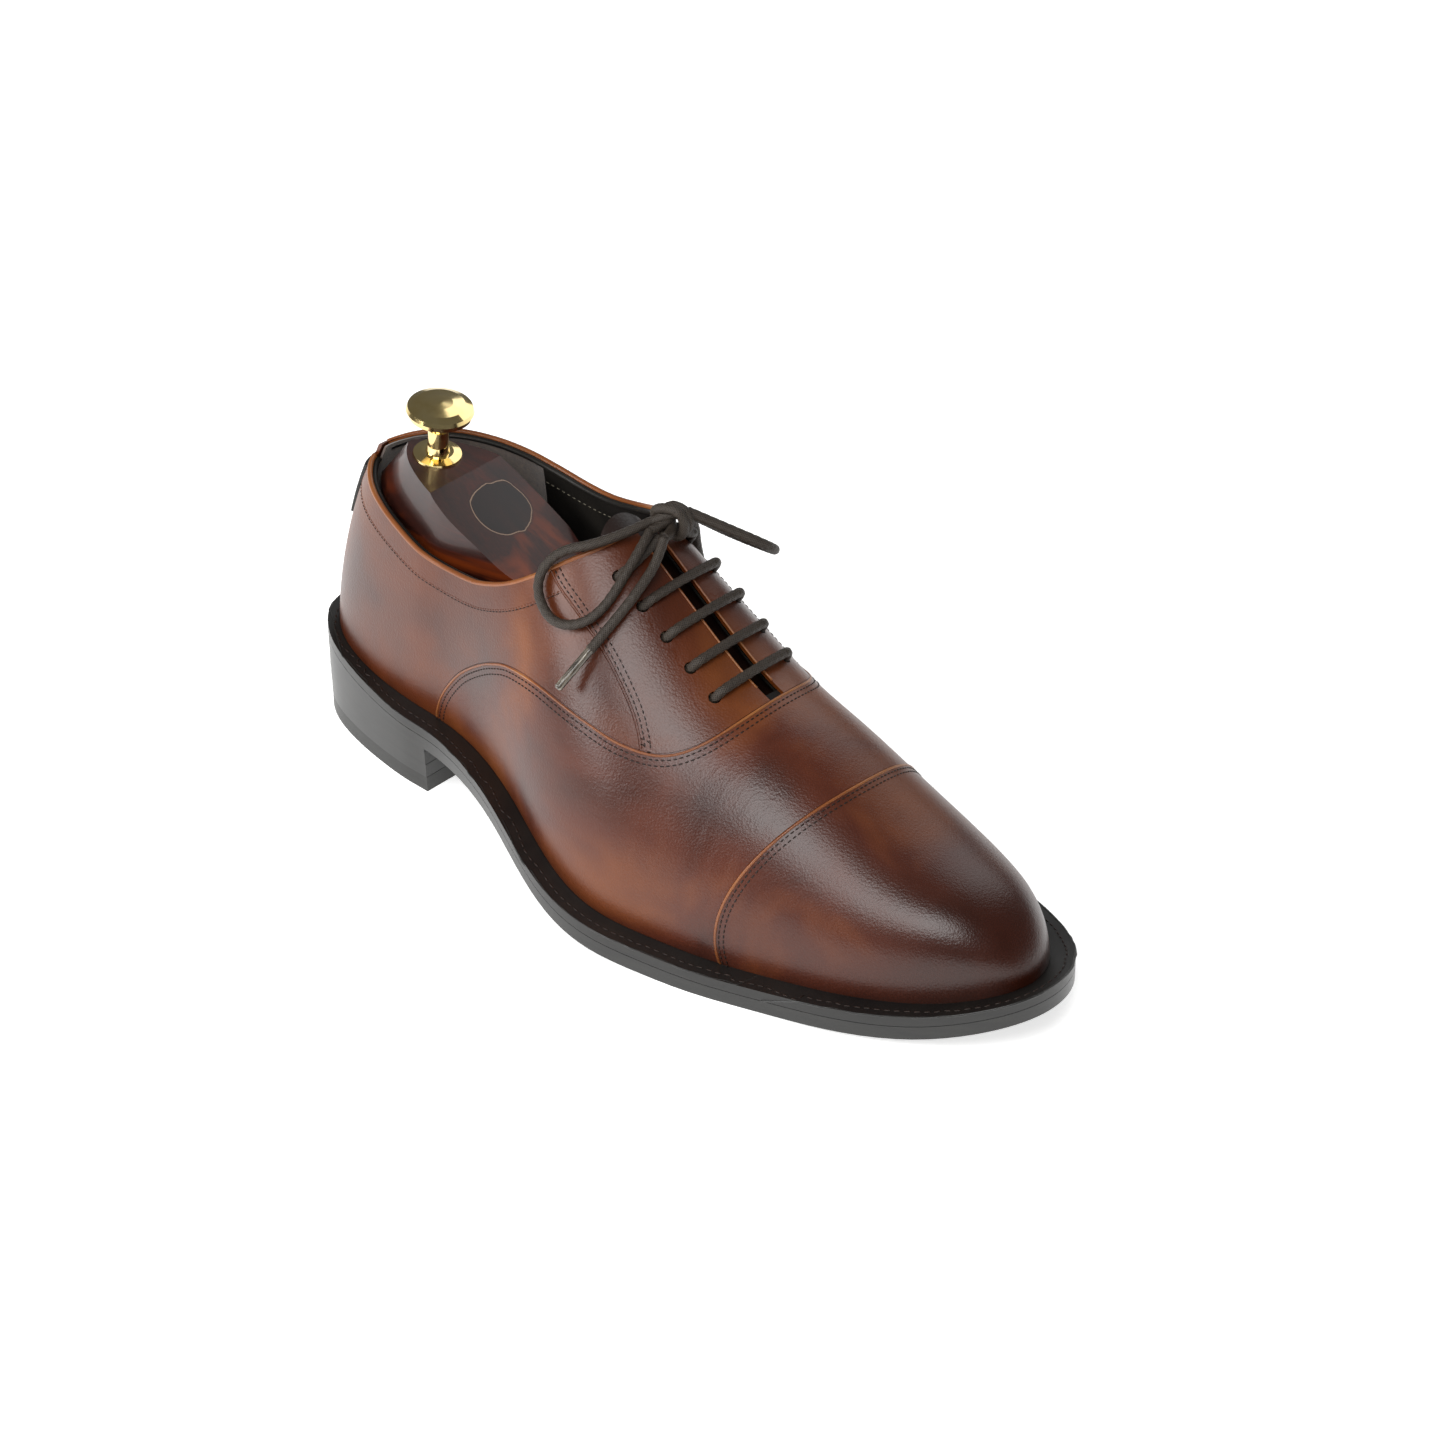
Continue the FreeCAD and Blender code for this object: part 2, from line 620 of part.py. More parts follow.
def tube_along(name, route, radius):
    """Round tube along straight runs joined by tangent arcs, each arc as large
    as its two runs allow."""
    edges = []
    bends = []
    here = route[0]
    for k in range(1, len(route) - 1):
        back = route[k - 1] - route[k]
        ahead = route[k + 1] - route[k]
        half_turn = (math.pi - back.getAngle(ahead)) / 2
        reach = 0.45 * min(back.Length, ahead.Length)
        bend = reach / math.tan(half_turn)
        first = route[k] + back.normalize() * reach
        last = route[k] + ahead.normalize() * reach
        inward = ((first + last) * 0.5 - route[k]).normalize()
        middle = route[k] + inward * (math.hypot(bend, reach) - bend)
        edges.append(Part.makeLine(here, first))
        edges.append(Part.Arc(first, middle, last).toShape())
        bends.append(bend)
        here = last
    edges.append(Part.makeLine(here, route[-1]))
    path = Part.Wire(edges)
    ring = Part.Wire(Part.makeCircle(radius, route[0], route[1] - route[0]))
    tube = path.makePipeShell([ring], True, False)
    bend_report(name, path.Length, bends, tube, radius)
    return tube


def bar_route(row):
    """Across one pair of holes: up through one, over the tongue, down the other."""
    y = eyelet_span / 2
    leg = [row.at(-y, -leg_drop), row.at(-y, bar_rise)]
    leg += [row.at(-0.62 * y, 0.72 * row.crest + 2.5), row.at(-0.2 * y, row.crest + 2.3)]
    return leg + [V(p.x, -p.y, p.z) for p in leg[::-1]]


# Free parts of the lace, from the knot outwards. The routes are listed as X, Y, Z.
loop_lateral = [(102.5, -1.5, 116.5), (97.4, -16.8, 113.6), (84.7, -26.2, 109.8), (82.2, -33.2, 99.3),
                (94.6, -37.5, 91.4), (107.5, -31.0, 96.4), (106.9, -12.5, 111.5), (104.4, -4.0, 115.0)]
loop_medial = [(110.0, 6.7, 119.5), (118.6, 14.5, 113.7), (127.8, 24.1, 106.5), (124.9, 31.6, 100.0),
               (115.0, 34.0, 97.3), (106.4, 29.2, 100.5), (105.8, 17.5, 110.2), (106.3, 7.6, 118.4)]
end_lateral = [(109.6, -3.4, 114.4), (111.4, -8.5, 108.8), (112.4, -16.0, 104.8), (112.6, -23.5, 100.2),
               (109.1, -36.3, 89.0)]
end_medial = [(102.3, 6.5, 115.6), (99.5, 12.5, 112.8), (98.8, 18.0, 108.8), (98.2, 22.8, 102.5),
              (97.0, 24.4, 94.0), (96.5, 28.2, 81.0)]


def loose_lace(name, route):
    points = [V(*p) for p in route]
    parts[name] = tube_along(name, points, lace_radius)
    return points


def aglet(name, route):
    """Hard tip that carries on from the end of the lace."""
    last_run = (route[-1] - route[-2]).normalize()
    parts[name] = Part.makeCylinder(aglet_diameter / 2, aglet_length, route[-1], last_run)


def knot_shape():
    half = Part.Ellipse(V(0, 0, 0), knot_half_length, knot_radius)
    arc = Part.ArcOfEllipse(half, 0, math.pi).toShape()
    rim_edge = Part.makeLine(V(-knot_half_length, 0, 0), V(knot_half_length, 0, 0))
    knot = Part.Face(Part.Wire([arc, rim_edge])).revolve(V(0, 0, 0), V(1, 0, 0), 360)
    knot.rotate(V(0, 0, 0), V(0, 0, 1), 90)
    knot.translate(knot_centre)
    return knot


def laces():
    knot = knot_shape()
    tubes = [tube_along("bar %d" % (k + 1), bar_route(row), lace_radius)
             for k, row in enumerate(rows_of_holes[:-1])]
    last_row = rows_of_holes[-1]
    for side in (-1, 1):
        y = side * eyelet_span / 2
        foot = knot_centre + V(-0.5, side * 4.0, -4.0)
        route = [last_row.at(y, -leg_drop), last_row.at(y, bar_rise),
                 last_row.at(0.72 * y, 0.6 * last_row.crest + 2.2), foot]
        tubes.append(tube_along("tail " + side_name[side], route, lace_radius))
    under = {}
    for side in (-1, 1):
        for row in range(eyelet_rows):
            under[side, row] = wall_point(*rows_of_holes[row].places[side], under_depth)
    cross_x = (under[-1, 3].x + under[1, 4].x) / 2
    crossing = [wall_point(*place_at(cross_x + x, y), under_depth - 0.6)
                for x, y in ((2, -8), (0, 0), (-2, 8))]
    runs = [[under[-1, 0], under[-1, 1]], [under[-1, 2], under[-1, 3], under[-1, 4]],
            [under[1, 0], under[1, 1], under[1, 2], under[1, 3]],
            [under[-1, 3]] + crossing + [under[1, 4]]]
    for run in runs:
        for first, last in zip(run, run[1:]):
            along = (last - first).normalize()
            first = first + along * run_trim
            tubes.append(Part.makeCylinder(under_radius, (last - first).Length - run_trim, first, along))
    parts["lace_laced"] = Part.makeCompound([kept(tube.cut(knot)) for tube in tubes])
    parts["lace_knot"] = knot
    loose_lace("lace_loop_lateral", loop_lateral)
    loose_lace("lace_loop_medial", loop_medial)
    aglet("aglet_lateral", loose_lace("lace_end_lateral", end_lateral))
    aglet("aglet_medial", loose_lace("lace_end_medial", end_medial))


# ---------------------------------------------------------------- shoe tree
floor_air = 0.4              # tree above the sock liner
tree_back_x = 118.0          # back face of the forepart
pivot = V(128.0, 0, 44.0)
pin_radius = 2.0
tube_radius = 5.5
bore_radius = 4.0
block_front_x = 60.0
tube_back_x = block_front_x + tree_slide + 2
bore_end_x = 120.0
rod_radius = bore_radius - moving_gap
rod_back_x = 36.0
rod_front_x = 88.0
spring_wire = 0.5            # radius of the wire
spring_coils = 7
mouth_z = 87.0               # the heel block is drawn to the mouth at this height
mouth_air = 2.6
facet_tilt = 7.0             # degrees, the block's top and the knob lean forward
facet_point = V(7.0, 0, 102.2)
facet_front_x = 20.5
slope_foot_z = 79.0
sock_top = layer_gap + insole_thick + layer_gap + sock_thick


def tree_depth(x):
    """Under the lining at the toe, under the tongue behind the throat."""
    near = lining_in + tree_gap
    deep = tongue_depth + tongue_thick + tree_gap
    t = min(max((x - throat_x - 12) / 8, 0.0), 1.0)
    return deep + (near - deep) * t * t * (3 - 2 * t)


def filled(rows):
    """Solid that fills the shoe under the lining."""
    net = []
    for row in rows:
        depth = tree_depth(heel_axis_x + row[0][0] - 90)
        net.append([wall_point(*place, depth) for place in row])
    surface = skin(net)
    u0, u1, v0, v1 = surface.bounds()
    faces = [surface.toShape(), strip(surface.vIso(v0), surface.vIso(v1))]
    for u in (u0, u1):
        border = surface.uIso(u)
        poles = border.getPoles()
        count = len(poles) - 1
        chord = [poles[0] + (poles[-1] - poles[0]) * (k / count) for k in range(count + 1)]
        straight = Part.BSplineCurve()
        straight.buildFromPolesMultsKnots(chord, border.getMultiplicities(), border.getKnots(),
                                          False, border.Degree)
        faces.append(strip(border, straight))
    return joined(faces)


def tree_forepart():
    wood = filled(over_rows(tree_back_x))
    wood = wood.common(slab(raised(welt_z, sock_top + floor_air), lambda x: high))
    wood = wood.common(block(tree_back_x, 300, -wide, wide, 0, 200))
    slot_half = tube_radius + moving_gap
    slot = block(100, pivot.x + tube_radius + 2, -slot_half, slot_half, pivot.z - 9, pivot.z + 14)
    wood = wood.cut(slot)
    pin_half = slot_half + 7
    pin = Part.makeCylinder(pin_radius, 2 * pin_half, pivot - V(0, pin_half, 0), V(0, 1, 0))
    parts["tree_pivot_pin"] = pin
    hole = Part.makeCylinder(pin_radius + 0.02, 2 * pin_half, pivot - V(0, pin_half, 0), V(0, 1, 0))
    parts["tree_forepart"] = kept(wood.cut(hole))


def tree_slider():
    """Metal tube on the pin, and the rod and spring inside it."""
    tube = Part.makeCylinder(tube_radius, pivot.x - tube_back_x, V(tube_back_x, 0, pivot.z), V(1, 0, 0))
    eye = Part.makeCylinder(tube_radius, 2 * tube_radius, pivot - V(0, tube_radius, 0), V(0, 1, 0))
    tube = tube.fuse(eye)
    tube = tube.cut(Part.makeCylinder(bore_radius, bore_end_x - tube_back_x,
                                      V(tube_back_x, 0, pivot.z), V(1, 0, 0)))
    tube = tube.cut(Part.makeCylinder(pin_radius + moving_gap, 20, pivot - V(0, 10, 0), V(0, 1, 0)))
    parts["tree_tube"] = kept(tube)
    parts["tree_rod"] = Part.makeCylinder(rod_radius, rod_front_x - rod_back_x,
                                          V(rod_back_x, 0, pivot.z), V(1, 0, 0))
    coil_radius = bore_radius - moving_gap - spring_wire
    start_x = rod_front_x + spring_wire + 0.1
    end_x = bore_end_x - spring_wire - 0.1
    pitch = (end_x - start_x) / spring_coils
    helix = Part.makeHelix(pitch, end_x - start_x, coil_radius)
    ring = Part.Wire(Part.makeCircle(spring_wire, V(coil_radius, 0, 0), V(0, 1, 0)))
    spring = Part.Wire(helix.Edges).makePipeShell([ring], True, True)
    spring.rotate(V(0, 0, 0), V(0, 1, 0), 90)
    spring.translate(V(start_x, 0, pivot.z))
    parts["tree_spring"] = spring


def block_outline(z, narrow, shift, aside):
    """Outline of the heel block at a height, from the mouth of the shoe: narrowed,
    its back shifted forward and the whole moved to one side."""
    def mouth_point(u, side):
        low, top = 0.3, 1.0
        for _ in range(30):
            v = (low + top) / 2
            if bezier(half_section(u, side), v).z < mouth_z:
                low = v
            else:
                top = v
        return wall_point(u, side, v, lining_in + mouth_air)

    columns = steps(0, 90, 9) + [90 + x - heel_axis_x for x in (36, 44, 51)]
    ring = []
    for side in (-1, 1):
        points = []
        for u in columns[1:]:
            p = mouth_point(u, side)
            widest = 22.0 - max(p.x - 20, 0) * 0.19
            points.append((p.x, side * min(abs(p.y), widest)))
        last = abs(points[-1][1])
        points += [(block_front_x - 3, side * last * 0.86), (block_front_x, side * last * 0.45)]
        ring.append(points)
    back = mouth_point(0, 1)
    order = [(back.x, 0)] + ring[0] + ring[1][::-1]
    points = []
    for x, y in order:
        lean = shift * max(heel_axis_x - x, 0) / (heel_axis_x - back.x)
        points.append(V(x + lean, y * narrow + aside, z))
    curve = Part.BSplineCurve()
    curve.interpolate(Points=points, PeriodicFlag=True)
    return Part.Wire(curve.toShape())


def tree_heel():
    shoulder = 18.0          # the sides draw in above the mouth over this height
    sections = [block_outline(20, 1, 0, 0), block_outline(mouth_z - 2, 1, 0, 0),
                block_outline(mouth_z + shoulder, 0.70, 17.0, -2.6)]
    wood = Part.makeLoft(sections, True, True)
    wood = wood.common(slab(raised(welt_z, sock_top + floor_air), lambda x: high))
    fall = math.tan(math.radians(facet_tilt))
    back_z = facet_point.z + (facet_point.x + 60) * fall
    front_z = facet_point.z - (facet_front_x - facet_point.x) * fall
    profile = [(-60, 10), (-60, back_z), (facet_front_x, front_z), (block_front_x, slope_foot_z),
               (block_front_x + 10, slope_foot_z - 6), (block_front_x + 10, 10), (-60, 10)]
    face = Part.Face(Part.makePolygon([V(x, -60, z) for x, z in profile]))
    wood = wood.common(face.extrude(V(0, 120, 0)))
    bore = Part.makeCylinder(rod_radius + 0.02, 60, V(rod_back_x - 0.02, 0, pivot.z), V(1, 0, 0))
    parts["tree_heel_block"] = kept(wood.cut(bore))


plate_radius = 8.0
knob_profile = [(0, 1.55), (3.9, 1.55), (3.4, 4.0), (3.5, 10.0), (4.6, 12.6), (7.6, 14.2),
                (10.4, 15.6), (knob_radius, 17.4), (knob_radius - 0.5, 18.6), (8.0, 19.7), (4.0, 20.3), (0, 20.5)]


def knob():
    """Brass plate on the block and the turned knob standing on it."""
    plate_line = [(0, 0.02), (plate_radius, 0.02), (plate_radius - 0.2, 0.7), (5.2, 1.5), (0, 1.5)]
    for name, line in (("knob_plate", plate_line), ("knob", knob_profile)):
        points = [V(r, 0, z) for r, z in line]
        face = Part.Face(Part.makePolygon(points + [points[0]]))
        turned = face.revolve(V(0, 0, 0), V(0, 0, 1), 360)
        turned.rotate(V(0, 0, 0), V(0, 1, 0), facet_tilt)
        turned.translate(facet_point)
        parts[name] = turned


# ---------------------------------------------------------------- making every piece
upper_sides()
heel_pieces()
forepart_pieces()
tongue_piece()
bottom_pieces()
laces()
tree_forepart()
tree_slider()
tree_heel()
knob()

os.makedirs("parts", exist_ok=True)
for name, shape in parts.items():
    shape.exportStep("parts/" + name + ".step")
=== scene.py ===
import json
import math

import bmesh
import bpy
from mathutils import Matrix, Vector
from mathutils.bvhtree import BVHTree

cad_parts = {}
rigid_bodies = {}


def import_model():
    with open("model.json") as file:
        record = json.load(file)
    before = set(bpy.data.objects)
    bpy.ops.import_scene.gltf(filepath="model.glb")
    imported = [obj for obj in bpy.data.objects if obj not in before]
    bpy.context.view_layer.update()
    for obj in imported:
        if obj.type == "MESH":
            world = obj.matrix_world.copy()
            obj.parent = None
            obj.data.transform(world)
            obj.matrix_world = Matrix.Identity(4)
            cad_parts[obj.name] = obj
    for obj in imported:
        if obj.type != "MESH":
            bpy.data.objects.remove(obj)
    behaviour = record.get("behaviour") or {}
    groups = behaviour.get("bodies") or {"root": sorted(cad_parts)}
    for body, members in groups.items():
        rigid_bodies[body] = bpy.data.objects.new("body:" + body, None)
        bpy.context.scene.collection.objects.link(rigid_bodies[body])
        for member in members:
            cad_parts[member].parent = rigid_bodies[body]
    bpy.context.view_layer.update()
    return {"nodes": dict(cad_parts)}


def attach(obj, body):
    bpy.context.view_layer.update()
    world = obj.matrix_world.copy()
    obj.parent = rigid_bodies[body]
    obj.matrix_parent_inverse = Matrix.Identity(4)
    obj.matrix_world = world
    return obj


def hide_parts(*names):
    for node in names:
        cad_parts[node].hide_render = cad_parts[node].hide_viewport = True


bpy.ops.object.select_all(action="SELECT")
bpy.ops.object.delete()
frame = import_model()
nodes = frame["nodes"]
mm = 0.001


# ---------------------------------------------------------------- camera
# A long lens a metre and a half away, above and ahead of the outer side of the
# shoe, tilted a quarter of a degree.
turn, height, roll = (math.radians(a) for a in (42.649, 33.524, -0.258))
distance = 1.54339
back = Vector((math.sin(turn) * math.cos(height), -math.cos(turn) * math.cos(height),
               math.sin(height)))
right = Vector((math.cos(turn), math.sin(turn), 0))
up = back.cross(right)
bpy.ops.object.camera_add()
camera = bpy.context.object
camera.name = "camera"
camera.data.sensor_width = 36
camera.data.lens = 120.23
aim = Vector((105.655, 26.840, 30.0)) * mm
tilted = Matrix((right * math.cos(roll) + up * math.sin(roll),
                 up * math.cos(roll) - right * math.sin(roll), back)).transposed().to_4x4()
camera.matrix_world = Matrix.Translation(aim + back * distance) @ tilted
bpy.context.scene.camera = camera


# ---------------------------------------------------------------- floor and light
# A bright white paper sweep under the shoe, large soft lamps on the heel side of
# the camera, high over the toe and behind, and a little white light all round.
def linear(colour):
    """Linear values of an sRGB hex colour."""
    parts = [int(colour[k:k + 2], 16) / 255 for k in (1, 3, 5)]
    return [v / 12.92 if v <= 0.04045 else ((v + 0.055) / 1.055) ** 2.4 for v in parts] + [1.0]


def add(tree, kind, settings=None, feeds=None):
    """One node with its settings, and the sockets that feed it."""
    made = tree.nodes.new("ShaderNode" + kind)
    for key, value in (settings or {}).items():
        if key == "stops":
            while len(made.color_ramp.elements) < len(value):
                made.color_ramp.elements.new(1.0)
            for stop, (place, colour) in zip(made.color_ramp.elements, value):
                stop.position = place
                stop.color = linear(colour)
        elif isinstance(key, str) and hasattr(made, key):
            setattr(made, key, value)
        else:
            made.inputs[key].default_value = value
    for socket, source in (feeds or {}).items():
        tree.links.new(source, made.inputs[socket])
    return made


def finish(name, settings):
    """A new material, its node tree and its shader."""
    material = bpy.data.materials.new(name)
    material.use_nodes = True
    tree = material.node_tree
    tree.nodes.clear()
    shader = add(tree, "BsdfPrincipled", settings)
    add(tree, "OutputMaterial", {}, {"Surface": shader.outputs["BSDF"]})
    return material, tree, shader


bpy.ops.mesh.primitive_plane_add(size=8)
floor = bpy.context.object
floor.name = "floor"
paper, tree, shader = finish("white_paper", {
    "Roughness": 0.9, "Specular IOR Level": 0.1, "Emission Color": (1, 1, 1, 1), "Emission Strength": 0.7})
where = add(tree, "TexCoord")
fibre = add(tree, "TexNoise", {"Scale": 400.0}, {"Vector": where.outputs["Object"]})
white = add(tree, "ValToRGB", {"stops": [(0.0, "#f4f4f2"), (1.0, "#fbfbfa")]},
            {"Fac": fibre.outputs["Fac"]})
tree.links.new(white.outputs["Color"], shader.inputs["Base Color"])
floor.data.materials.append(paper)

world = bpy.data.worlds.new("studio")
world.use_nodes = True
world.node_tree.nodes["Background"].inputs["Color"].default_value = (1, 1, 1, 1)
world.node_tree.nodes["Background"].inputs["Strength"].default_value = 0.12
bpy.context.scene.world = world
bpy.context.scene.view_settings.view_transform = "Standard"
middle = Vector((110, 0, 40)) * mm
for name, direction, away, size, power in (("lamp_heel_side", (-0.42, -0.80, 0.46), 1.1, 0.60, 6.5),
                                           ("lamp_over_toe", (0.30, -0.55, 0.80), 1.2, 0.70, 9),
                                           ("lamp_behind", (-0.2, 0.75, 0.62), 1.4, 0.9, 3.5)):
    aim_from = Vector(direction).normalized()
    bpy.ops.object.light_add(type="AREA", location=middle + aim_from * away)
    lamp = bpy.context.object
    lamp.name = name
    lamp.rotation_euler = aim_from.to_track_quat("Z", "Y").to_euler()
    lamp.data.size = size
    lamp.data.energy = power


# ---------------------------------------------------------------- shoe lace
# One round lace of braided cotton, waxed dark brown: four straight bars through
# the lower holes, two ends that rise to the knot, two loops and two free ends.
# The braid is tight, so its strands show as a fine crossed relief.
lace_radius = 1.6
strand_lay = 3.0             # length of one turn of a strand
strand_relief = 0.11
ring_step = 0.45             # between the rings of a lace's skin
lace_sides = 20


def line_of(points):
    """The smooth spline that the listed points, in millimetres, pull into shape."""
    curve = bpy.data.curves.new("route", "CURVE")
    curve.dimensions = "3D"
    curve.resolution_u = 24
    spline = curve.splines.new("NURBS")
    spline.points.add(len(points) - 1)
    for point, place in zip(spline.points, points):
        point.co = (place[0] * mm, place[1] * mm, place[2] * mm, 1)
    spline.order_u = 3
    spline.use_endpoint_u = True
    route = bpy.data.objects.new("route", curve)
    drawn = bpy.data.meshes.new_from_object(route)
    line = [corner.co.copy() for corner in drawn.vertices]
    bpy.data.objects.remove(route)
    return line


def even(line, step):
    """The same line with its points an even distance apart, in millimetres."""
    run = [0.0]
    for first, last in zip(line, line[1:]):
        run.append(run[-1] + (last - first).length)
    count = max(2, round(run[-1] / (step * mm)))
    spaced = []
    k = 0
    for i in range(count + 1):
        s = run[-1] * i / count
        while k < len(run) - 2 and run[k + 1] < s:
            k += 1
        share = (s - run[k]) / max(run[k + 1] - run[k], 1e-9)
        spaced.append(line[k].lerp(line[k + 1], share))
    return spaced


def length_of(line):
    return sum((b - a).length for a, b in zip(line, line[1:]))


def tube(name, lines, radius_at, sides=16):
    """Round skin about each line, as one mesh. radius_at gives millimetres from
    the distance along the line, the angle round it and the line's length."""
    corners, faces, layout = [], [], []
    for line in lines:
        base = len(corners)
        total = length_of(line) / mm
        across = (line[1] - line[0]).orthogonal().normalized()
        along = 0.0
        for i, point in enumerate(line):
            run = (line[min(i + 1, len(line) - 1)] - line[max(i - 1, 0)]).normalized()
            across = (across - run * across.dot(run)).normalized()
            out = run.cross(across)
            if i:
                along += (point - line[i - 1]).length / mm
            for j in range(sides):
                angle = 2 * math.pi * j / sides
                reach = radius_at(along, angle, total) * mm
                corners.append(point + (across * math.cos(angle) + out * math.sin(angle)) * reach)
                layout.append(along)
        for i in range(len(line) - 1):
            for j in range(sides):
                one, two = base + i * sides + j, base + i * sides + (j + 1) % sides
                faces.append((one, two, two + sides, one + sides))
        faces.append(tuple(base + j for j in reversed(range(sides))))
        faces.append(tuple(base + (len(line) - 1) * sides + j for j in range(sides)))
    mesh = bpy.data.meshes.new(name)
    mesh.from_pydata(corners, [], faces)
    mesh.update()
    unwrapped = mesh.uv_layers.new(name="braid")
    for face in mesh.polygons:
        turns = [(mesh.loops[k].vertex_index % sides) for k in face.loop_indices]
        seam = len(turns) == 4 and max(turns) - min(turns) > 1
        for k, j in zip(face.loop_indices, turns):
            round_it = 1.0 if seam and j == 0 else j / sides
            unwrapped.data[k].uv = (layout[mesh.loops[k].vertex_index], round_it)
        face.use_smooth = True
    made = bpy.data.objects.new(name, mesh)
    bpy.context.scene.collection.objects.link(made)
    return made


def braided(along, angle, total):
    """Two crossing families of strands, four each way round."""
    wave = 2 * math.pi * along / strand_lay
    relief = max(math.sin(4 * angle + wave), math.sin(4 * angle - wave))
    return lace_radius - 0.10 + strand_relief * relief


waxed_cotton, tree, shader = finish("waxed_braided_cotton", {"Roughness": 0.5, "Specular IOR Level": 0.4})
lay_of = add(tree, "UVMap", {"uv_map": "braid"})
# strands 0.75 mm wide, crossing; the lace runs in millimetres along U
crossed = []
for slope in (1, -1):
    stretched = add(tree, "Mapping",
                    {"Scale": (0.34, 4.0, 1.0), "Rotation": (0, 0, slope * math.radians(45))},
                    {"Vector": lay_of.outputs["UV"]})
    crossed.append(add(tree, "TexWave",
                       {"Scale": 1.4, "Distortion": 0.6, "Detail": 2.0, "Detail Scale": 3.0},
                       {"Vector": stretched.outputs["Vector"]}))
strands = add(tree, "Math", {"operation": "MAXIMUM"},
              {0: crossed[0].outputs["Fac"], 1: crossed[1].outputs["Fac"]})
# darker between the strands and lighter on their crowns, from the same relief as the bump: painted shade in
# the gaps and painted highlight on the crowns
braid_tone_with_painted_shade = add(tree, "ValToRGB", {"stops": [(0.0, "#0c0907"), (0.55, "#261f19"), (1.0, "#453c33")]},
          {"Fac": strands.outputs["Value"]})
raised = add(tree, "Bump", {"Strength": 0.6, "Distance": 0.0002}, {"Height": strands.outputs["Value"]})
tree.links.new(braid_tone_with_painted_shade.outputs["Color"], shader.inputs["Base Color"])
tree.links.new(raised.outputs["Normal"], shader.inputs["Normal"])

# The free runs, from the knot outwards.
loop_lateral = [(102.5, -1.5, 116.5), (97.4, -16.8, 113.6), (84.7, -26.2, 109.8), (82.2, -33.2, 99.3),
                (94.6, -37.5, 91.4), (107.5, -31.0, 96.4), (106.9, -12.5, 111.5), (104.4, -4.0, 115.0)]
loop_medial = [(110.0, 6.7, 119.5), (118.6, 14.5, 113.7), (127.8, 24.1, 106.5), (124.9, 31.6, 100.0),
               (115.0, 34.0, 97.3), (106.4, 29.2, 100.5), (105.8, 17.5, 110.2), (106.3, 7.6, 118.4)]
end_lateral = [(109.6, -3.4, 114.4), (111.4, -8.5, 108.8), (112.4, -16.0, 104.8), (112.6, -23.5, 100.2),
               (109.1, -36.3, 89.0)]
end_medial = [(102.3, 6.5, 115.6), (99.5, 12.5, 112.8), (98.8, 18.0, 108.8), (98.2, 22.8, 102.5),
              (97.0, 24.4, 94.0), (96.5, 28.2, 81.0)]

# Hard tips of clear film heated round the ends, a little flattened by the press.
film, tree, shader = finish("aglet_film", {"Roughness": 0.22, "Coat Weight": 0.6, "Coat Roughness": 0.1})
lay_of = add(tree, "UVMap", {"uv_map": "braid"})
creases = add(tree, "Mapping", {"Scale": (0.12, 7.0, 1.0)}, {"Vector": lay_of.outputs["UV"]})
pleats = add(tree, "TexNoise", {"Scale": 1.6, "Detail": 3.0}, {"Vector": creases.outputs["Vector"]})
# pale streaks along the film, from the same pleat noise as the bump: painted highlight of the long glints on
# the clear film
film_streak_highlight = add(tree, "ValToRGB", {"stops": [(0.35, "#2a241f"), (0.55, "#5f574c"), (0.72, "#a89f90")]},
            {"Fac": pleats.outputs["Fac"]})
folds = add(tree, "Bump", {"Strength": 0.5, "Distance": 0.0002}, {"Height": pleats.outputs["Fac"]})
tree.links.new(film_streak_highlight.outputs["Color"], shader.inputs["Base Color"])
tree.links.new(folds.outputs["Normal"], shader.inputs["Normal"])


film_radius = 1.47
film_overlap = 1.0           # how far the film reaches back over the braid
film_step = 0.5
film_rings = 34


def pressed(along, angle, total):
    """Film tube with six shallow pleats, rounded off at its tip."""
    tip = min(1.0, (total - along) / 0.6 + 0.55)
    flat = 1 - 0.12 * (along / total) * math.cos(2 * angle) ** 2
    return (film_radius + 0.06 * math.cos(6 * angle)) * tip * flat


for name, route, length, far_end in (("lace_loop_lateral", loop_lateral, 0.103, "object"),
                                     ("lace_loop_medial", loop_medial, 0.084, "object"),
                                     ("lace_end_lateral", end_lateral, 0.042, "fitting"),
                                     ("lace_end_medial", end_medial, 0.044, "fitting")):
    line = even(line_of(route), ring_step)
    piece = tube("braid_" + name[5:], [line], braided, lace_sides)
    piece.data.materials.append(waxed_cotton)
    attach(piece, "shoe")
    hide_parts(name)
    if far_end == "fitting":
        heading = (Vector(route[-1]) - Vector(route[-2])).normalized() * mm
        rings = [line[-1] + heading * (film_step * k - film_overlap) for k in range(film_rings)]
        tip = tube("tip_" + name[9:], [rings], pressed, 24)
        tip.data.materials.append(film)
        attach(tip, "shoe")
        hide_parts("aglet_" + name[9:])

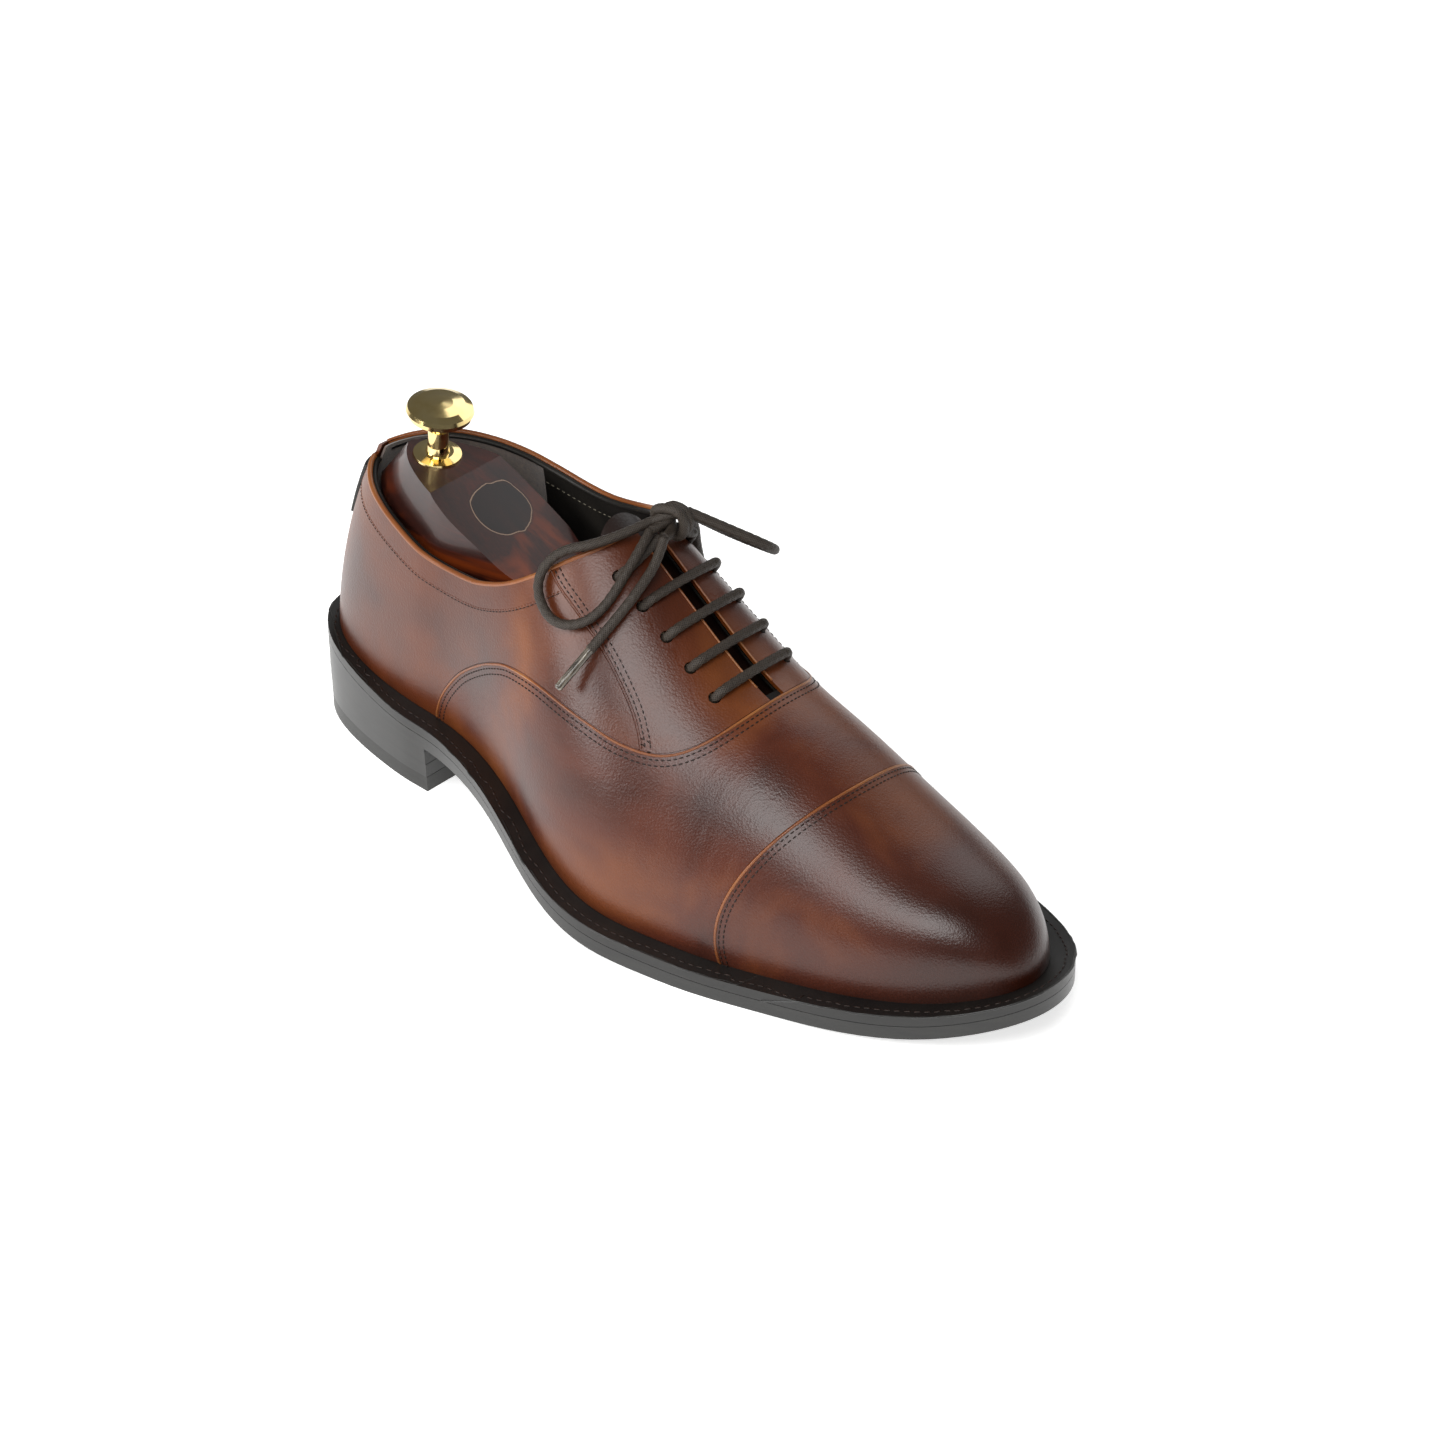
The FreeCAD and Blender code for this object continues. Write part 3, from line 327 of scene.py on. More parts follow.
# The laced part: each bar comes up through one hole, crosses the tongue and goes
# down the other. The last pair of holes sends both ends up to the knot.
bars = [[(139.8, -16.8, 72.3), (143.9, -16.8, 78.9), (144.5, -10.4, 79.9), (144.9, -3.4, 80.5)],
        [(129.5, -16.8, 79.0), (134.1, -16.8, 85.3), (134.9, -10.4, 86.3), (135.3, -3.4, 86.9)],
        [(119.5, -16.8, 85.9), (124.2, -16.8, 92.2), (125.1, -10.4, 93.5), (125.6, -3.4, 94.1)],
        [(109.5, -16.8, 92.7), (114.2, -16.8, 99.0), (115.4, -10.4, 100.6), (116.0, -3.4, 101.4)]]
laced = [even(line_of(half + [(x, -y, z) for x, y, z in reversed(half)]), ring_step) for half in bars]
risers = [[(99.5, -16.8, 99.2), (104.1, -16.8, 105.5), (105.1, -12.1, 106.9), (106.0, -1.5, 112.5)],
          [(99.5, 16.8, 99.2), (104.1, 16.8, 105.5), (105.1, 12.1, 106.9), (106.0, 6.5, 112.5)]]
laced += [even(line_of(route), ring_step) for route in risers]
piece = tube("braid_laced", laced, braided, lace_sides)
piece.data.materials.append(waxed_cotton)
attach(piece, "shoe")
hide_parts("lace_laced")

# The bow's knot: the two loops and the two ends cross inside, and one turn of
# lace goes round the middle of them.
crossing = [[(102.5, -1.5, 116.5), (105.0, 1.0, 118.2), (108.0, 4.5, 119.2), (110.0, 6.7, 119.5)],
            [(104.4, -4.0, 115.0), (105.5, -0.5, 115.6), (106.0, 4.0, 117.0), (106.3, 7.6, 118.4)],
            [(109.6, -3.4, 114.4), (109.0, 0.5, 114.2), (106.0, 4.0, 114.8), (102.3, 6.5, 115.6)],
            [(106.0, -1.5, 112.5), (107.8, 1.2, 112.2), (107.6, 4.0, 112.3), (106.0, 6.5, 112.5)]]
wrap = [(104.8, 2.6, 113.0), (101.6, 1.6, 114.8), (101.6, 0.6, 119.6), (106.2, 1.0, 121.9),
        (110.8, 2.4, 121.4), (112.0, 3.6, 116.6), (110.4, 3.8, 111.8), (106.4, 3.4, 110.9),
        (104.0, 2.8, 113.2)]
second = [(103.0, 4.6, 113.6), (102.2, 4.4, 118.0), (106.0, 4.4, 121.4), (110.6, 5.4, 120.6),
          (111.6, 6.2, 116.0), (109.6, 6.0, 112.2), (106.0, 5.2, 111.4)]
knotted = [even(line_of(route), ring_step) for route in crossing + [wrap, second]]
piece = tube("braid_knot", knotted, braided, lace_sides)
piece.data.materials.append(waxed_cotton)
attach(piece, "shoe")
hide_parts("lace_knot")


# ---------------------------------------------------------------- upper leather
# Calf panels, cut, skived and lasted: quarters at the bottom, facings and collar
# bands over them, the vamp over those and the toe cap over the vamp. The leather
# is dyed tan and burnished by hand to a deep red-brown in clouds, darkest at the
# toe, then waxed to a soft shine.
def calf(name, dark, mid, light, crease=0.0):
    material, tree, shader = finish(name, {"Roughness": 0.38, "Coat Weight": 0.12, "Coat Roughness": 0.25})
    where = add(tree, "TexCoord")
    # clouds of burnishing, 45 mm across
    cloud = add(tree, "TexNoise", {"Scale": 22.0, "Detail": 3.0, "Roughness": 0.5, "Distortion": 0.4},
                {"Vector": where.outputs["Object"]})
    tone = add(tree, "ValToRGB", {"stops": [(0.30, dark), (0.5, mid), (0.70, light)]},
               {"Fac": cloud.outputs["Fac"]})
    axes = add(tree, "SeparateXYZ", {}, {"Vector": where.outputs["Object"]})
    toe = add(tree, "MapRange", {"From Min": 0.205, "From Max": 0.262, "To Min": 0.0, "To Max": 0.75},
              {"Value": axes.outputs["X"]})
    burnt = add(tree, "Mix", {"data_type": "RGBA", "blend_type": "MIX", 7: linear(dark)},
                {0: toe.outputs["Result"], 6: tone.outputs["Color"]})
    # grain cells of 0.7 mm between fine hairlines
    cells = add(tree, "TexVoronoi", {"Scale": 1400.0, "Randomness": 1.0}, {"Vector": where.outputs["Object"]})
    lines = add(tree, "TexNoise", {"Scale": 900.0, "Detail": 4.0}, {"Vector": where.outputs["Object"]})
    grain = add(tree, "Math", {"operation": "ADD"}, {0: cells.outputs["Distance"], 1: lines.outputs["Fac"]})
    relief = add(tree, "Bump", {"Strength": 0.5, "Distance": 0.0001}, {"Height": grain.outputs["Value"]})
    shine = add(tree, "MapRange", {"From Min": 0.3, "From Max": 0.7, "To Min": 0.30, "To Max": 0.44},
                {"Value": cloud.outputs["Fac"]})
    tree.links.new(shine.outputs["Result"], shader.inputs["Roughness"])
    last = relief
    if crease:
        # soft flex creases 3 to 4 mm apart across the ball of the foot
        slanted = add(tree, "Mapping", {"Rotation": (0, math.radians(-38), math.radians(12)),
                                        "Scale": (1.0, 0.25, 0.12)}, {"Vector": where.outputs["Object"]})
        folds = add(tree, "TexNoise", {"Scale": 260.0, "Detail": 1.5}, {"Vector": slanted.outputs["Vector"]})
        zone = add(tree, "MapRange", {"From Min": 0.135, "From Max": 0.165, "To Min": 0.0, "To Max": 1.0},
                   {"Value": axes.outputs["X"]})
        over = add(tree, "MapRange", {"From Min": 0.175, "From Max": 0.190, "To Min": 1.0, "To Max": 0.0},
                   {"Value": axes.outputs["X"]})
        band = add(tree, "Math", {"operation": "MULTIPLY"},
                   {0: zone.outputs["Result"], 1: over.outputs["Result"]})
        deep = add(tree, "Math", {"operation": "MULTIPLY"},
                   {0: band.outputs["Value"], 1: folds.outputs["Fac"]})
        last = add(tree, "Bump", {"Strength": crease, "Distance": 0.0006},
                   {"Height": deep.outputs["Value"], "Normal": relief.outputs["Normal"]})
    tree.links.new(burnt.outputs[2], shader.inputs["Base Color"])
    tree.links.new(last.outputs["Normal"], shader.inputs["Normal"])
    return material


calf_quarter = calf("calf_burnished", "#3a1203", "#5c2809", "#7c400f")
calf_vamp = calf("calf_burnished_vamp", "#341003", "#53210a", "#743a10", 0.25)
calf_cap = calf("calf_burnished_cap", "#2e0d02", "#4b1c07", "#6f360d")
# lighter tan for the folded and cut edges: partly a cut edge's own colour, partly painted highlight of the
# light their rounded folds catch
calf_edge_and_highlight = calf("calf_folded_edge_and_highlight", "#6f3a16", "#8a4f26", "#a56a38")


heel_centre = 0.028          # the panels' outer faces look away from a line
toe_centre = 0.215           # that runs between these two places
centre_height = 0.035
least_face = 2e-8
touching = 0.00003
sharp_edge = math.radians(15)


def raised_panel(name, node, lift, material):
    """Copy of a leather piece, its outer face moved out by the lap's height."""
    shape = bmesh.new()
    shape.from_mesh(nodes[node].data)
    bmesh.ops.remove_doubles(shape, verts=shape.verts, dist=0.000002)
    shape.normal_update()
    outer = set()
    for face in shape.faces:
        place = face.calc_center_median()
        out = place - Vector((min(max(place.x, heel_centre), toe_centre), 0, centre_height))
        if face.calc_area() > least_face and face.normal.dot(out.normalized()) > 0.5:
            outer.add(face)
    skin = BVHTree.FromPolygons([corner.co for corner in shape.verts],
                                [[corner.index for corner in face.verts] for face in outer])
    moves = {}
    for corner in shape.verts:
        hit, normal, _, _ = skin.find_nearest(corner.co, touching)
        if hit is not None:
            own = [face.normal * face.calc_area() for face in corner.link_faces if face in outer]
            moves[corner] = (sum(own, Vector()) if own else normal).normalized() * lift * mm
    for corner, move in moves.items():
        corner.co += move
    mesh = bpy.data.meshes.new(name)
    shape.to_mesh(mesh)
    shape.free()
    made = bpy.data.objects.new(name, mesh)
    bpy.context.scene.collection.objects.link(made)
    made.data.materials.append(material)
    bpy.ops.object.select_all(action="DESELECT")
    made.select_set(True)
    bpy.context.view_layer.objects.active = made
    bpy.ops.object.shade_smooth_by_angle(angle=sharp_edge)
    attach(made, "shoe")
    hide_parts(node)
    return made


# how far each outer face is moved out, in millimetres, and its leather
laps = {"toe_cap": (0.15, calf_cap), "vamp": (0.10, calf_vamp)}
for side in ("lateral", "medial"):
    laps["facing_" + side] = (0.05, calf_quarter)
    laps["collar_band_" + side] = (0.05, calf_quarter)
panels = {node: raised_panel("panel_" + node, node, lift, material)
          for node, (lift, material) in laps.items()}
for side in ("lateral", "medial"):
    nodes["quarter_" + side].material_slots[0].material = calf_quarter
    panels["quarter_" + side] = nodes["quarter_" + side]


# ---------------------------------------------------------------- folded edges
# The raw edge of each panel is folded under and hammered, so a thin rounded bead runs along every seam. Its
# lighter tan is partly the own colour of a cut edge and partly painted highlight, the light that a rounded
# fold catches.
def skin_of(*names):
    """The faces of the named panels, for finding places on them."""
    shape = bmesh.new()
    for name in names:
        shape.from_mesh(panels[name].data)
    found = BVHTree.FromBMesh(shape)
    shape.free()
    return found


def smooth(points, per_span=24):
    """Curve through points of two numbers each, smooth at every one."""
    ends = [points[0]] + list(points) + [points[-1]]
    drawn = []
    for k in range(len(points) - 1):
        a, b, c, d = (Vector(p) for p in ends[k:k + 4])
        for i in range(per_span):
            t = i / per_span
            drawn.append(0.5 * (2 * b + (c - a) * t + (2 * a - 5 * b + 4 * c - d) * t * t
                                + (3 * b - a - 3 * c + d) * t * t * t))
    return drawn + [Vector(points[-1])]


def shifted(curve, shift):
    """The curve moved to its right by a distance, in its own plane."""
    moved = []
    for k, point in enumerate(curve):
        run = (curve[min(k + 1, len(curve) - 1)] - curve[max(k - 1, 0)]).normalized()
        moved.append(point + Vector((run.y, -run.x)) * shift)
    return moved


def seen_from_side(surface, curve, side, inside=False):
    """Where a line of X and Z places falls on a surface, seen from one side."""
    found = []
    for place in curve:
        start = Vector((place.x * mm, 0 if inside else side * 0.2, place.y * mm))
        hit, normal, _, _ = surface.ray_cast(start, Vector((0, side if inside else -side, 0)))
        if hit is not None and (not found or (hit - found[-1]).length < 0.012):
            found.append(hit)
    return found


def beside(surface, line, offset, lift):
    """The line moved sideways on the surface, with the surface's normals."""
    moved = []
    for k, point in enumerate(line):
        run = (line[min(k + 1, len(line) - 1)] - line[max(k - 1, 0)]).normalized()
        hit, normal, _, _ = surface.find_nearest(point)
        wanted = point + normal.cross(run).normalized() * offset * mm
        hit, normal, _, _ = surface.find_nearest(wanted)
        moved.append((hit + normal * lift * mm, normal, run))
    return moved


vamp_seam = smooth([(29.6, 5), (30, 24), (32, 31), (37, 40), (46, 51), (56, 59.5), (66, 66), (77, 70.5),
                    (93, 72.3), (112, 70), (128, 66.5), (140, 65.5), (148, 68.5), (154, 75), (158, 84)])
facing_seam = smooth([(66, 118), (78, 107), (87, 100.4), (97, 95.2), (110, 87.5), (121, 79), (129, 71.5),
                      (135, 63), (138, 52)])
topline_front = [(88, 106.5), (97, 112), (106, 119)]
topline_lateral = smooth([(-60, 93), (-36, 93), (-26, 92.6), (-12, 89.6), (0, 88), (12, 86.5), (25, 84.6),
                          (37, 84), (50, 85.5), (60, 89), (69, 93.5), (78, 99.3)] + topline_front)
topline_medial = smooth([(-60, 93), (-36, 93), (-26, 93.4), (-15, 97), (-4, 99), (8, 98.6), (20, 97.6),
                         (35, 96.4), (50, 95.4), (62, 96.6), (76, 101)] + topline_front)

vamp_skin = skin_of("vamp")
halves = [seen_from_side(vamp_skin, shifted(vamp_seam, 0.5), side) for side in (-1, 1)]
vamp_edge = even(halves[0] + halves[1][::-1], 0.6)
facing_edges = {}
collar_edges = {}
toplines = {}
for side, word, topline in ((-1, "lateral", topline_lateral), (1, "medial", topline_medial)):
    facing_skin = skin_of("facing_" + word)
    facing_edges[word] = even(seen_from_side(facing_skin, shifted(facing_seam, -0.5), side), 0.6)
    collar_skin = skin_of("collar_band_" + word)
    collar_edges[word] = even(seen_from_side(collar_skin, shifted(topline, 7.6), side), 0.6)
    collar_and_facing = skin_of("collar_band_" + word, "facing_" + word)
    toplines[word] = even(seen_from_side(collar_and_facing, shifted(topline, 0.4), side), 0.8)

facing_front_x = 103.5
facing_front_y = 3.45


def cap_line(surface, shift):
    """Round the toe cap's rear edge, an arc seen from above, from welt to welt."""
    centre_x, radius, axis_height = 111.68, 76.82, 22
    reach = 118
    found = []
    for k in range(-reach, reach + 1):
        angle = math.radians(k * 0.95)
        aim = Vector((0, math.sin(angle), math.cos(angle)))
        y = 0.0
        for _ in range(7):
            x = centre_x + math.sqrt(radius ** 2 - y * y) + shift
            axis = Vector((x, 0, axis_height)) * mm
            hit, normal, _, _ = surface.ray_cast(axis + aim * 0.15, -aim)
            if hit is None:
                break
            y = hit.y / mm
        if hit is not None and hit.z < 0.08:
            found.append(hit)
    return found


cap_skin = skin_of("toe_cap")
cap_edge = even(cap_line(cap_skin, 0.5), 0.6)
front_edges = []
for side, word in ((-1, "lateral"), (1, "medial")):
    facing_skin = skin_of("facing_" + word)
    found = []
    for k in range(90):
        start = Vector((facing_front_x + 0.5 * k, side * facing_front_y, 200)) * mm
        hit, normal, _, _ = facing_skin.ray_cast(start, Vector((0, 0, -1)))
        if hit is not None:
            found.append(hit)
    front_edges.append(even(found, 0.6))


def bead(name, lines, radius, material):
    """Thin rounded strip that follows the lines."""
    made = tube(name, lines, lambda along, angle, total: radius, 8)
    made.data.materials.append(material)
    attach(made, "shoe")
    return made


def sunk(surface, line, offset, lift):
    return [place for place, normal, run in beside(surface, line, offset, lift)]


bead("edge_of_toe_cap", [sunk(cap_skin, cap_edge, 0, -0.15)], radius=0.5, material=calf_edge_and_highlight)
bead("edge_of_vamp", [sunk(vamp_skin, vamp_edge, 0, -0.12)], radius=0.45, material=calf_edge_and_highlight)
bead("edges_of_facings", [sunk(skin_of("facing_" + w), facing_edges[w], 0, -0.15) for w in facing_edges],
     radius=0.38, material=calf_quarter)
bead("front_edges_of_facings", front_edges, radius=0.34, material=calf_edge_and_highlight)
roll_radius = 0.95
roll_rise = 0.55
lining_fold_depth = 2.45
piped, bound = [], []
for word in ("lateral", "medial"):
    collar_and_facing = skin_of("collar_band_" + word, "facing_" + word)
    for store, depth, rise in ((piped, roll_radius, roll_rise), (bound, lining_fold_depth, 0.0)):
        store.append([place - normal * depth * mm + Vector((0, 0, rise * mm))
                      for place, normal, run in beside(collar_and_facing, toplines[word], 0, 0)])
bead("topline_fold", piped, radius=roll_radius, material=calf_edge_and_highlight)


# ---------------------------------------------------------------- seams
# Waxed dark brown thread, locked at eleven to twelve stitches to the inch: each
# stitch is a small rounded grain of thread pulled into the leather.
thread, tree, shader = finish("waxed_thread", {"Roughness": 0.5, "Specular IOR Level": 0.4})
where = add(tree, "TexCoord")
ply = add(tree, "TexNoise", {"Scale": 2500.0}, {"Vector": where.outputs["Object"]})
brown = add(tree, "ValToRGB", {"stops": [(0.3, "#120804"), (0.7, "#2c180d")]},
            {"Fac": ply.outputs["Fac"]})
tree.links.new(brown.outputs["Color"], shader.inputs["Base Color"])

bpy.ops.object.select_all(action="DESELECT")
bpy.ops.mesh.primitive_uv_sphere_add(segments=8, ring_count=5, radius=0.5)
grain = bpy.context.object
bpy.ops.object.mode_set(mode="EDIT")
bpy.ops.mesh.select_all(action="SELECT")
bpy.ops.transform.resize(value=(1.0, 0.8, 0.7))
bpy.ops.object.mode_set(mode="OBJECT")
grain_corners = [corner.co.copy() for corner in grain.data.vertices]
grain_faces = [tuple(face.vertices) for face in grain.data.polygons]
bpy.data.objects.remove(grain)


def sewn(name, rows, length, width, gap, material=None):
    """Grains of thread along rows of places, as one mesh. Sizes in millimetres."""
    corners, faces = [], []
    for row in rows:
        due = 0.0
        for (place, normal, run), (next_place, _, _) in zip(row, row[1:]):
            due -= (next_place - place).length / mm
            if due > 0:
                continue
            due += length + gap
            across = normal.cross(run).normalized()
            base = len(corners)
            corners += [place + (run * c.x * length + across * c.y * width + normal * c.z * width) * mm
                        for c in grain_corners]
            faces += [tuple(base + k for k in face) for face in grain_faces]
    mesh = bpy.data.meshes.new(name)
    mesh.from_pydata(corners, [], faces)
    mesh.update()
    for face in mesh.polygons:
        face.use_smooth = True
    made = bpy.data.objects.new(name, mesh)
    bpy.context.scene.collection.objects.link(made)
    made.data.materials.append(material or thread)
    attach(made, "shoe")
    return made


def fine(line):
    """The line with points close enough to place stitches by."""
    return even(line, 0.15)


proud = 0.05                 # a stitch's middle stands this far off the leather
sewn("stitches_toe_cap", [beside(cap_skin, fine(cap_edge), side, proud) for side in (-1.3, -2.9)],
     length=1.5, width=0.62, gap=0.45)
sewn("stitches_vamp", [beside(vamp_skin, fine(vamp_edge), side, proud) for side in (-1.4, -3.2)],
     length=1.5, width=0.62, gap=0.45)
rows = []
for word, sign in (("lateral", 1), ("medial", -1)):
    facing_skin = skin_of("facing_" + word)
    rows += [beside(facing_skin, fine(facing_edges[word]), sign * side, proud) for side in (1.2, 2.9)]
sewn("stitches_facings", rows, length=1.5, width=0.58, gap=0.45)
sewn("stitches_collar", [beside(skin_of("collar_band_" + word), fine(collar_edges[word]), 0.9 * sign, 0.03)
                         for word, sign in (("lateral", -1), ("medial", 1))],
     length=1.2, width=0.5, gap=0.6)
sewn("gimped_collar_edge",
     [beside(skin_of("collar_band_" + word), fine(collar_edges[word]), -0.25 * sign, -0.12)
      for word, sign in (("lateral", -1), ("medial", 1))],
     length=1.3, width=0.8, gap=0.1, material=calf_quarter)


# ---------------------------------------------------------------- linings
# Black calf lining with a row of grey stitches under the topline, a brown suede
# grip round the heel and a black strap over the back seam.
black_lining, tree, shader = finish("black_lining_leather", {"Roughness": 0.5, "Specular IOR Level": 0.4})
where = add(tree, "TexCoord")
pores = add(tree, "TexVoronoi", {"Scale": 1200.0}, {"Vector": where.outputs["Object"]})
worn = add(tree, "TexNoise", {"Scale": 60.0, "Detail": 4.0}, {"Vector": where.outputs["Object"]})
black = add(tree, "ValToRGB", {"stops": [(0.35, "#0f0d0b"), (0.7, "#1f1c18")]},
            {"Fac": worn.outputs["Fac"]})
relief = add(tree, "Bump", {"Strength": 0.3, "Distance": 0.00006}, {"Height": pores.outputs["Distance"]})
tree.links.new(black.outputs["Color"], shader.inputs["Base Color"])
tree.links.new(relief.outputs["Normal"], shader.inputs["Normal"])
for name in ("quarter_lining_lateral", "quarter_lining_medial", "vamp_lining", "sock_liner", "back_strap"):
    nodes[name].material_slots[0].material = black_lining
bead("lining_fold", bound, radius=1.05, material=black_lining)

suede, tree, shader = finish("brown_suede", {"Roughness": 0.95, "Specular IOR Level": 0.2,
                                             "Sheen Weight": 0.5, "Sheen Roughness": 0.6})
where = add(tree, "TexCoord")
nap = add(tree, "TexNoise", {"Scale": 700.0, "Detail": 6.0, "Roughness": 0.7},
          {"Vector": where.outputs["Object"]})
brushed = add(tree, "TexNoise", {"Scale": 45.0, "Detail": 3.0}, {"Vector": where.outputs["Object"]})
mixed = add(tree, "Math", {"operation": "MULTIPLY"},
            {0: nap.outputs["Fac"], 1: brushed.outputs["Fac"]})
fawn = add(tree, "ValToRGB", {"stops": [(0.15, "#32231a"), (0.4, "#5d4735")]},
           {"Fac": mixed.outputs["Value"]})
relief = add(tree, "Bump", {"Strength": 0.6, "Distance": 0.0002}, {"Height": nap.outputs["Fac"]})
tree.links.new(fawn.outputs["Color"], shader.inputs["Base Color"])
tree.links.new(relief.outputs["Normal"], shader.inputs["Normal"])
nodes["heel_grip"].material_slots[0].material = suede

grey_thread, tree, shader = finish("grey_thread", {"Roughness": 0.6})
where = add(tree, "TexCoord")
ply = add(tree, "TexNoise", {"Scale": 2500.0}, {"Vector": where.outputs["Object"]})
grey = add(tree, "ValToRGB", {"stops": [(0.3, "#4b463c"), (0.7, "#7a7364")]}, {"Fac": ply.outputs["Fac"]})
tree.links.new(grey.outputs["Color"], shader.inputs["Base Color"])
row_depth = 6.5              # below the topline
grip_end_x = 31              # the row begins at the front edge of the suede
rows = []
for side, word, topline in ((-1, "lateral", topline_lateral), (1, "medial", topline_medial)):
    shape = bmesh.new()
    shape.from_mesh(nodes["quarter_lining_" + word].data)
    lining_skin = BVHTree.FromBMesh(shape)
    shape.free()
    places = [place for place in shifted(topline, row_depth) if place.x > grip_end_x]
    line = fine(seen_from_side(lining_skin, places, side, inside=True))
    rows.append(beside(lining_skin, line, 0, 0.02))
sewn("stitches_lining", rows, length=1.5, width=0.42, gap=0.9, material=grey_thread)

# The tongue is the same calf, painted almost black all over as painted shade for the narrow gap between the
# facings where it shows.
nodes["tongue"].material_slots[0].material = calf("calf_tongue_painted_shade", "#120806", "#1b0d08", "#2a150c")


# ---------------------------------------------------------------- stiffeners
# Buckram, cork and board between the leathers, hidden: open cloth set hard with glue, ground cork in a
# binder, and tan insole board over a steel shank. The vamp's interlining is cotton drill, painted black as
# painted shade where it shows at the foot of the lacing.
def plain(name, low, high, scale, roughness, bump, slots, metallic=0.0):
    material, tree, shader = finish(name, {"Roughness": roughness, "Metallic": metallic})
    where = add(tree, "TexCoord")
    fleck = add(tree, "TexNoise", {"Scale": scale, "Detail": 5.0}, {"Vector": where.outputs["Object"]})
    tone = add(tree, "ValToRGB", {"stops": [(0.35, low), (0.65, high)]}, {"Fac": fleck.outputs["Fac"]})
    relief = add(tree, "Bump", {"Strength": bump, "Distance": 0.0001}, {"Height": fleck.outputs["Fac"]})
    tree.links.new(tone.outputs["Color"], shader.inputs["Base Color"])
    tree.links.new(relief.outputs["Normal"], shader.inputs["Normal"])
    for name in slots:
        nodes[name].material_slots[0].material = material
    return material


plain("buckram", "#a1947a", "#c9bb9c", 900.0, 0.9, 0.5,
      ["quarter_backer_lateral", "quarter_backer_medial", "heel_counter", "toe_puff"])
# black here is painted shade for the foot of the lacing, where the interlining shows
plain("drill_painted_shade_black", "#0b0908", "#171310", 900.0, 0.9, 0.5, ["vamp_interlining"])
plain("ground_cork", "#6b4a2c", "#b48a5a", 500.0, 0.9, 0.6, ["cork_filler", "waist_filler"])
plain("insole_board", "#a3815a", "#c7a67c", 300.0, 0.7, 0.3, ["insole_board"])
plain("spring_steel_strip", "#7d7f82", "#a5a7aa", 200.0, 0.42, 0.1, ["shank", "heel_nails"], 1.0)


# ---------------------------------------------------------------- welt, sole and heel
# Leather strip and sole, stained black and burnished with hot wax on their
# edges, on a stacked leather heel dressed the same, with a rubber top piece.
def edge_dressing(name, low, high, roughness):
    material, tree, shader = finish(name, {"Roughness": roughness, "Coat Weight": 0.3,
                                           "Coat Roughness": 0.25})
    where = add(tree, "TexCoord")
    layers = add(tree, "Mapping", {"Scale": (0.25, 0.25, 3.0)}, {"Vector": where.outputs["Object"]})
    pressed_lines = add(tree, "TexNoise", {"Scale": 180.0, "Detail": 4.0},
                        {"Vector": layers.outputs["Vector"]})
    tone = add(tree, "ValToRGB", {"stops": [(0.3, low), (0.7, high)]}, {"Fac": pressed_lines.outputs["Fac"]})
    relief = add(tree, "Bump", {"Strength": 0.12, "Distance": 0.0001},
                 {"Height": pressed_lines.outputs["Fac"]})
    tree.links.new(tone.outputs["Color"], shader.inputs["Base Color"])
    tree.links.new(relief.outputs["Normal"], shader.inputs["Normal"])
    return material


dressed_edge = edge_dressing("black_edge_dressing", "#121110", "#1e1d1a", 0.42)
welt_black = edge_dressing("black_welt_leather", "#0b0a09", "#171512", 0.45)
rubber = edge_dressing("black_rubber", "#141310", "#1f1e1b", 0.6)
for name in ("outsole", "heel_lift_1", "heel_lift_2", "heel_lift_3"):
    nodes[name].material_slots[0].material = dressed_edge
nodes["welt"].material_slots[0].material = welt_black
nodes["heel_top_piece"].material_slots[0].material = rubber

# The welt stitch: thick black thread in a channel round the welt's upper face,
# and the welt's outer corner rounded with the iron.
shape = bmesh.new()
shape.from_mesh(nodes["welt"].data)
welt_skin = BVHTree.FromBMesh(shape)
welt_corners = [corner.co.copy() for corner in shape.verts]
shape.free()
heel_end, toe_end, pace = 0.028, 0.214, 0.004
headings = [(Vector((heel_end, 0)), 90 + 3 * k) for k in range(61)]
headings += [(Vector((heel_end + pace * k, 0)), 270) for k in range(1, 47)]
headings += [(Vector((toe_end, 0)), 270 + 3 * k) for k in range(61)]
headings += [(Vector((toe_end - pace * k, 0)), 90) for k in range(1, 47)]
outline = []
for centre, angle in headings:
    out = Vector((math.cos(math.radians(angle)), math.sin(math.radians(angle))))
    across = Vector((-out.y, out.x))
    reach = [(corner.xy - centre).dot(out) for corner in welt_corners
             if abs((corner.xy - centre).dot(across)) < 0.002]
    outline.append(centre + out * max(reach))


def round_welt(inset):
    """Line on the welt's upper face, a distance in from its outer edge."""
    found = []
    for k, place in enumerate(outline):
        run = (outline[(k + 1) % len(outline)] - outline[k - 1]).normalized()
        inner = place + Vector((-run.y, run.x)) * inset * mm
        hit, normal, _, _ = welt_skin.ray_cast(Vector((inner.x, inner.y, 0.12)), Vector((0, 0, -1)))
        if hit is not None:
            found.append(hit)
    return found + found[:1]


welt_line = fine(round_welt(3.2))
welt_row = [(place, Vector((0, 0, 1)), (ahead - place).normalized())
            for place, ahead in zip(welt_line, welt_line[1:])]
sewn("stitches_welt", [welt_row], length=2.4, width=0.8, gap=0.7)
bead("welt_ironed_corner", [[place - Vector((0, 0, 0.3 * mm)) for place in even(round_welt(0.45), 0.8)]],
     radius=0.42, material=dressed_edge)


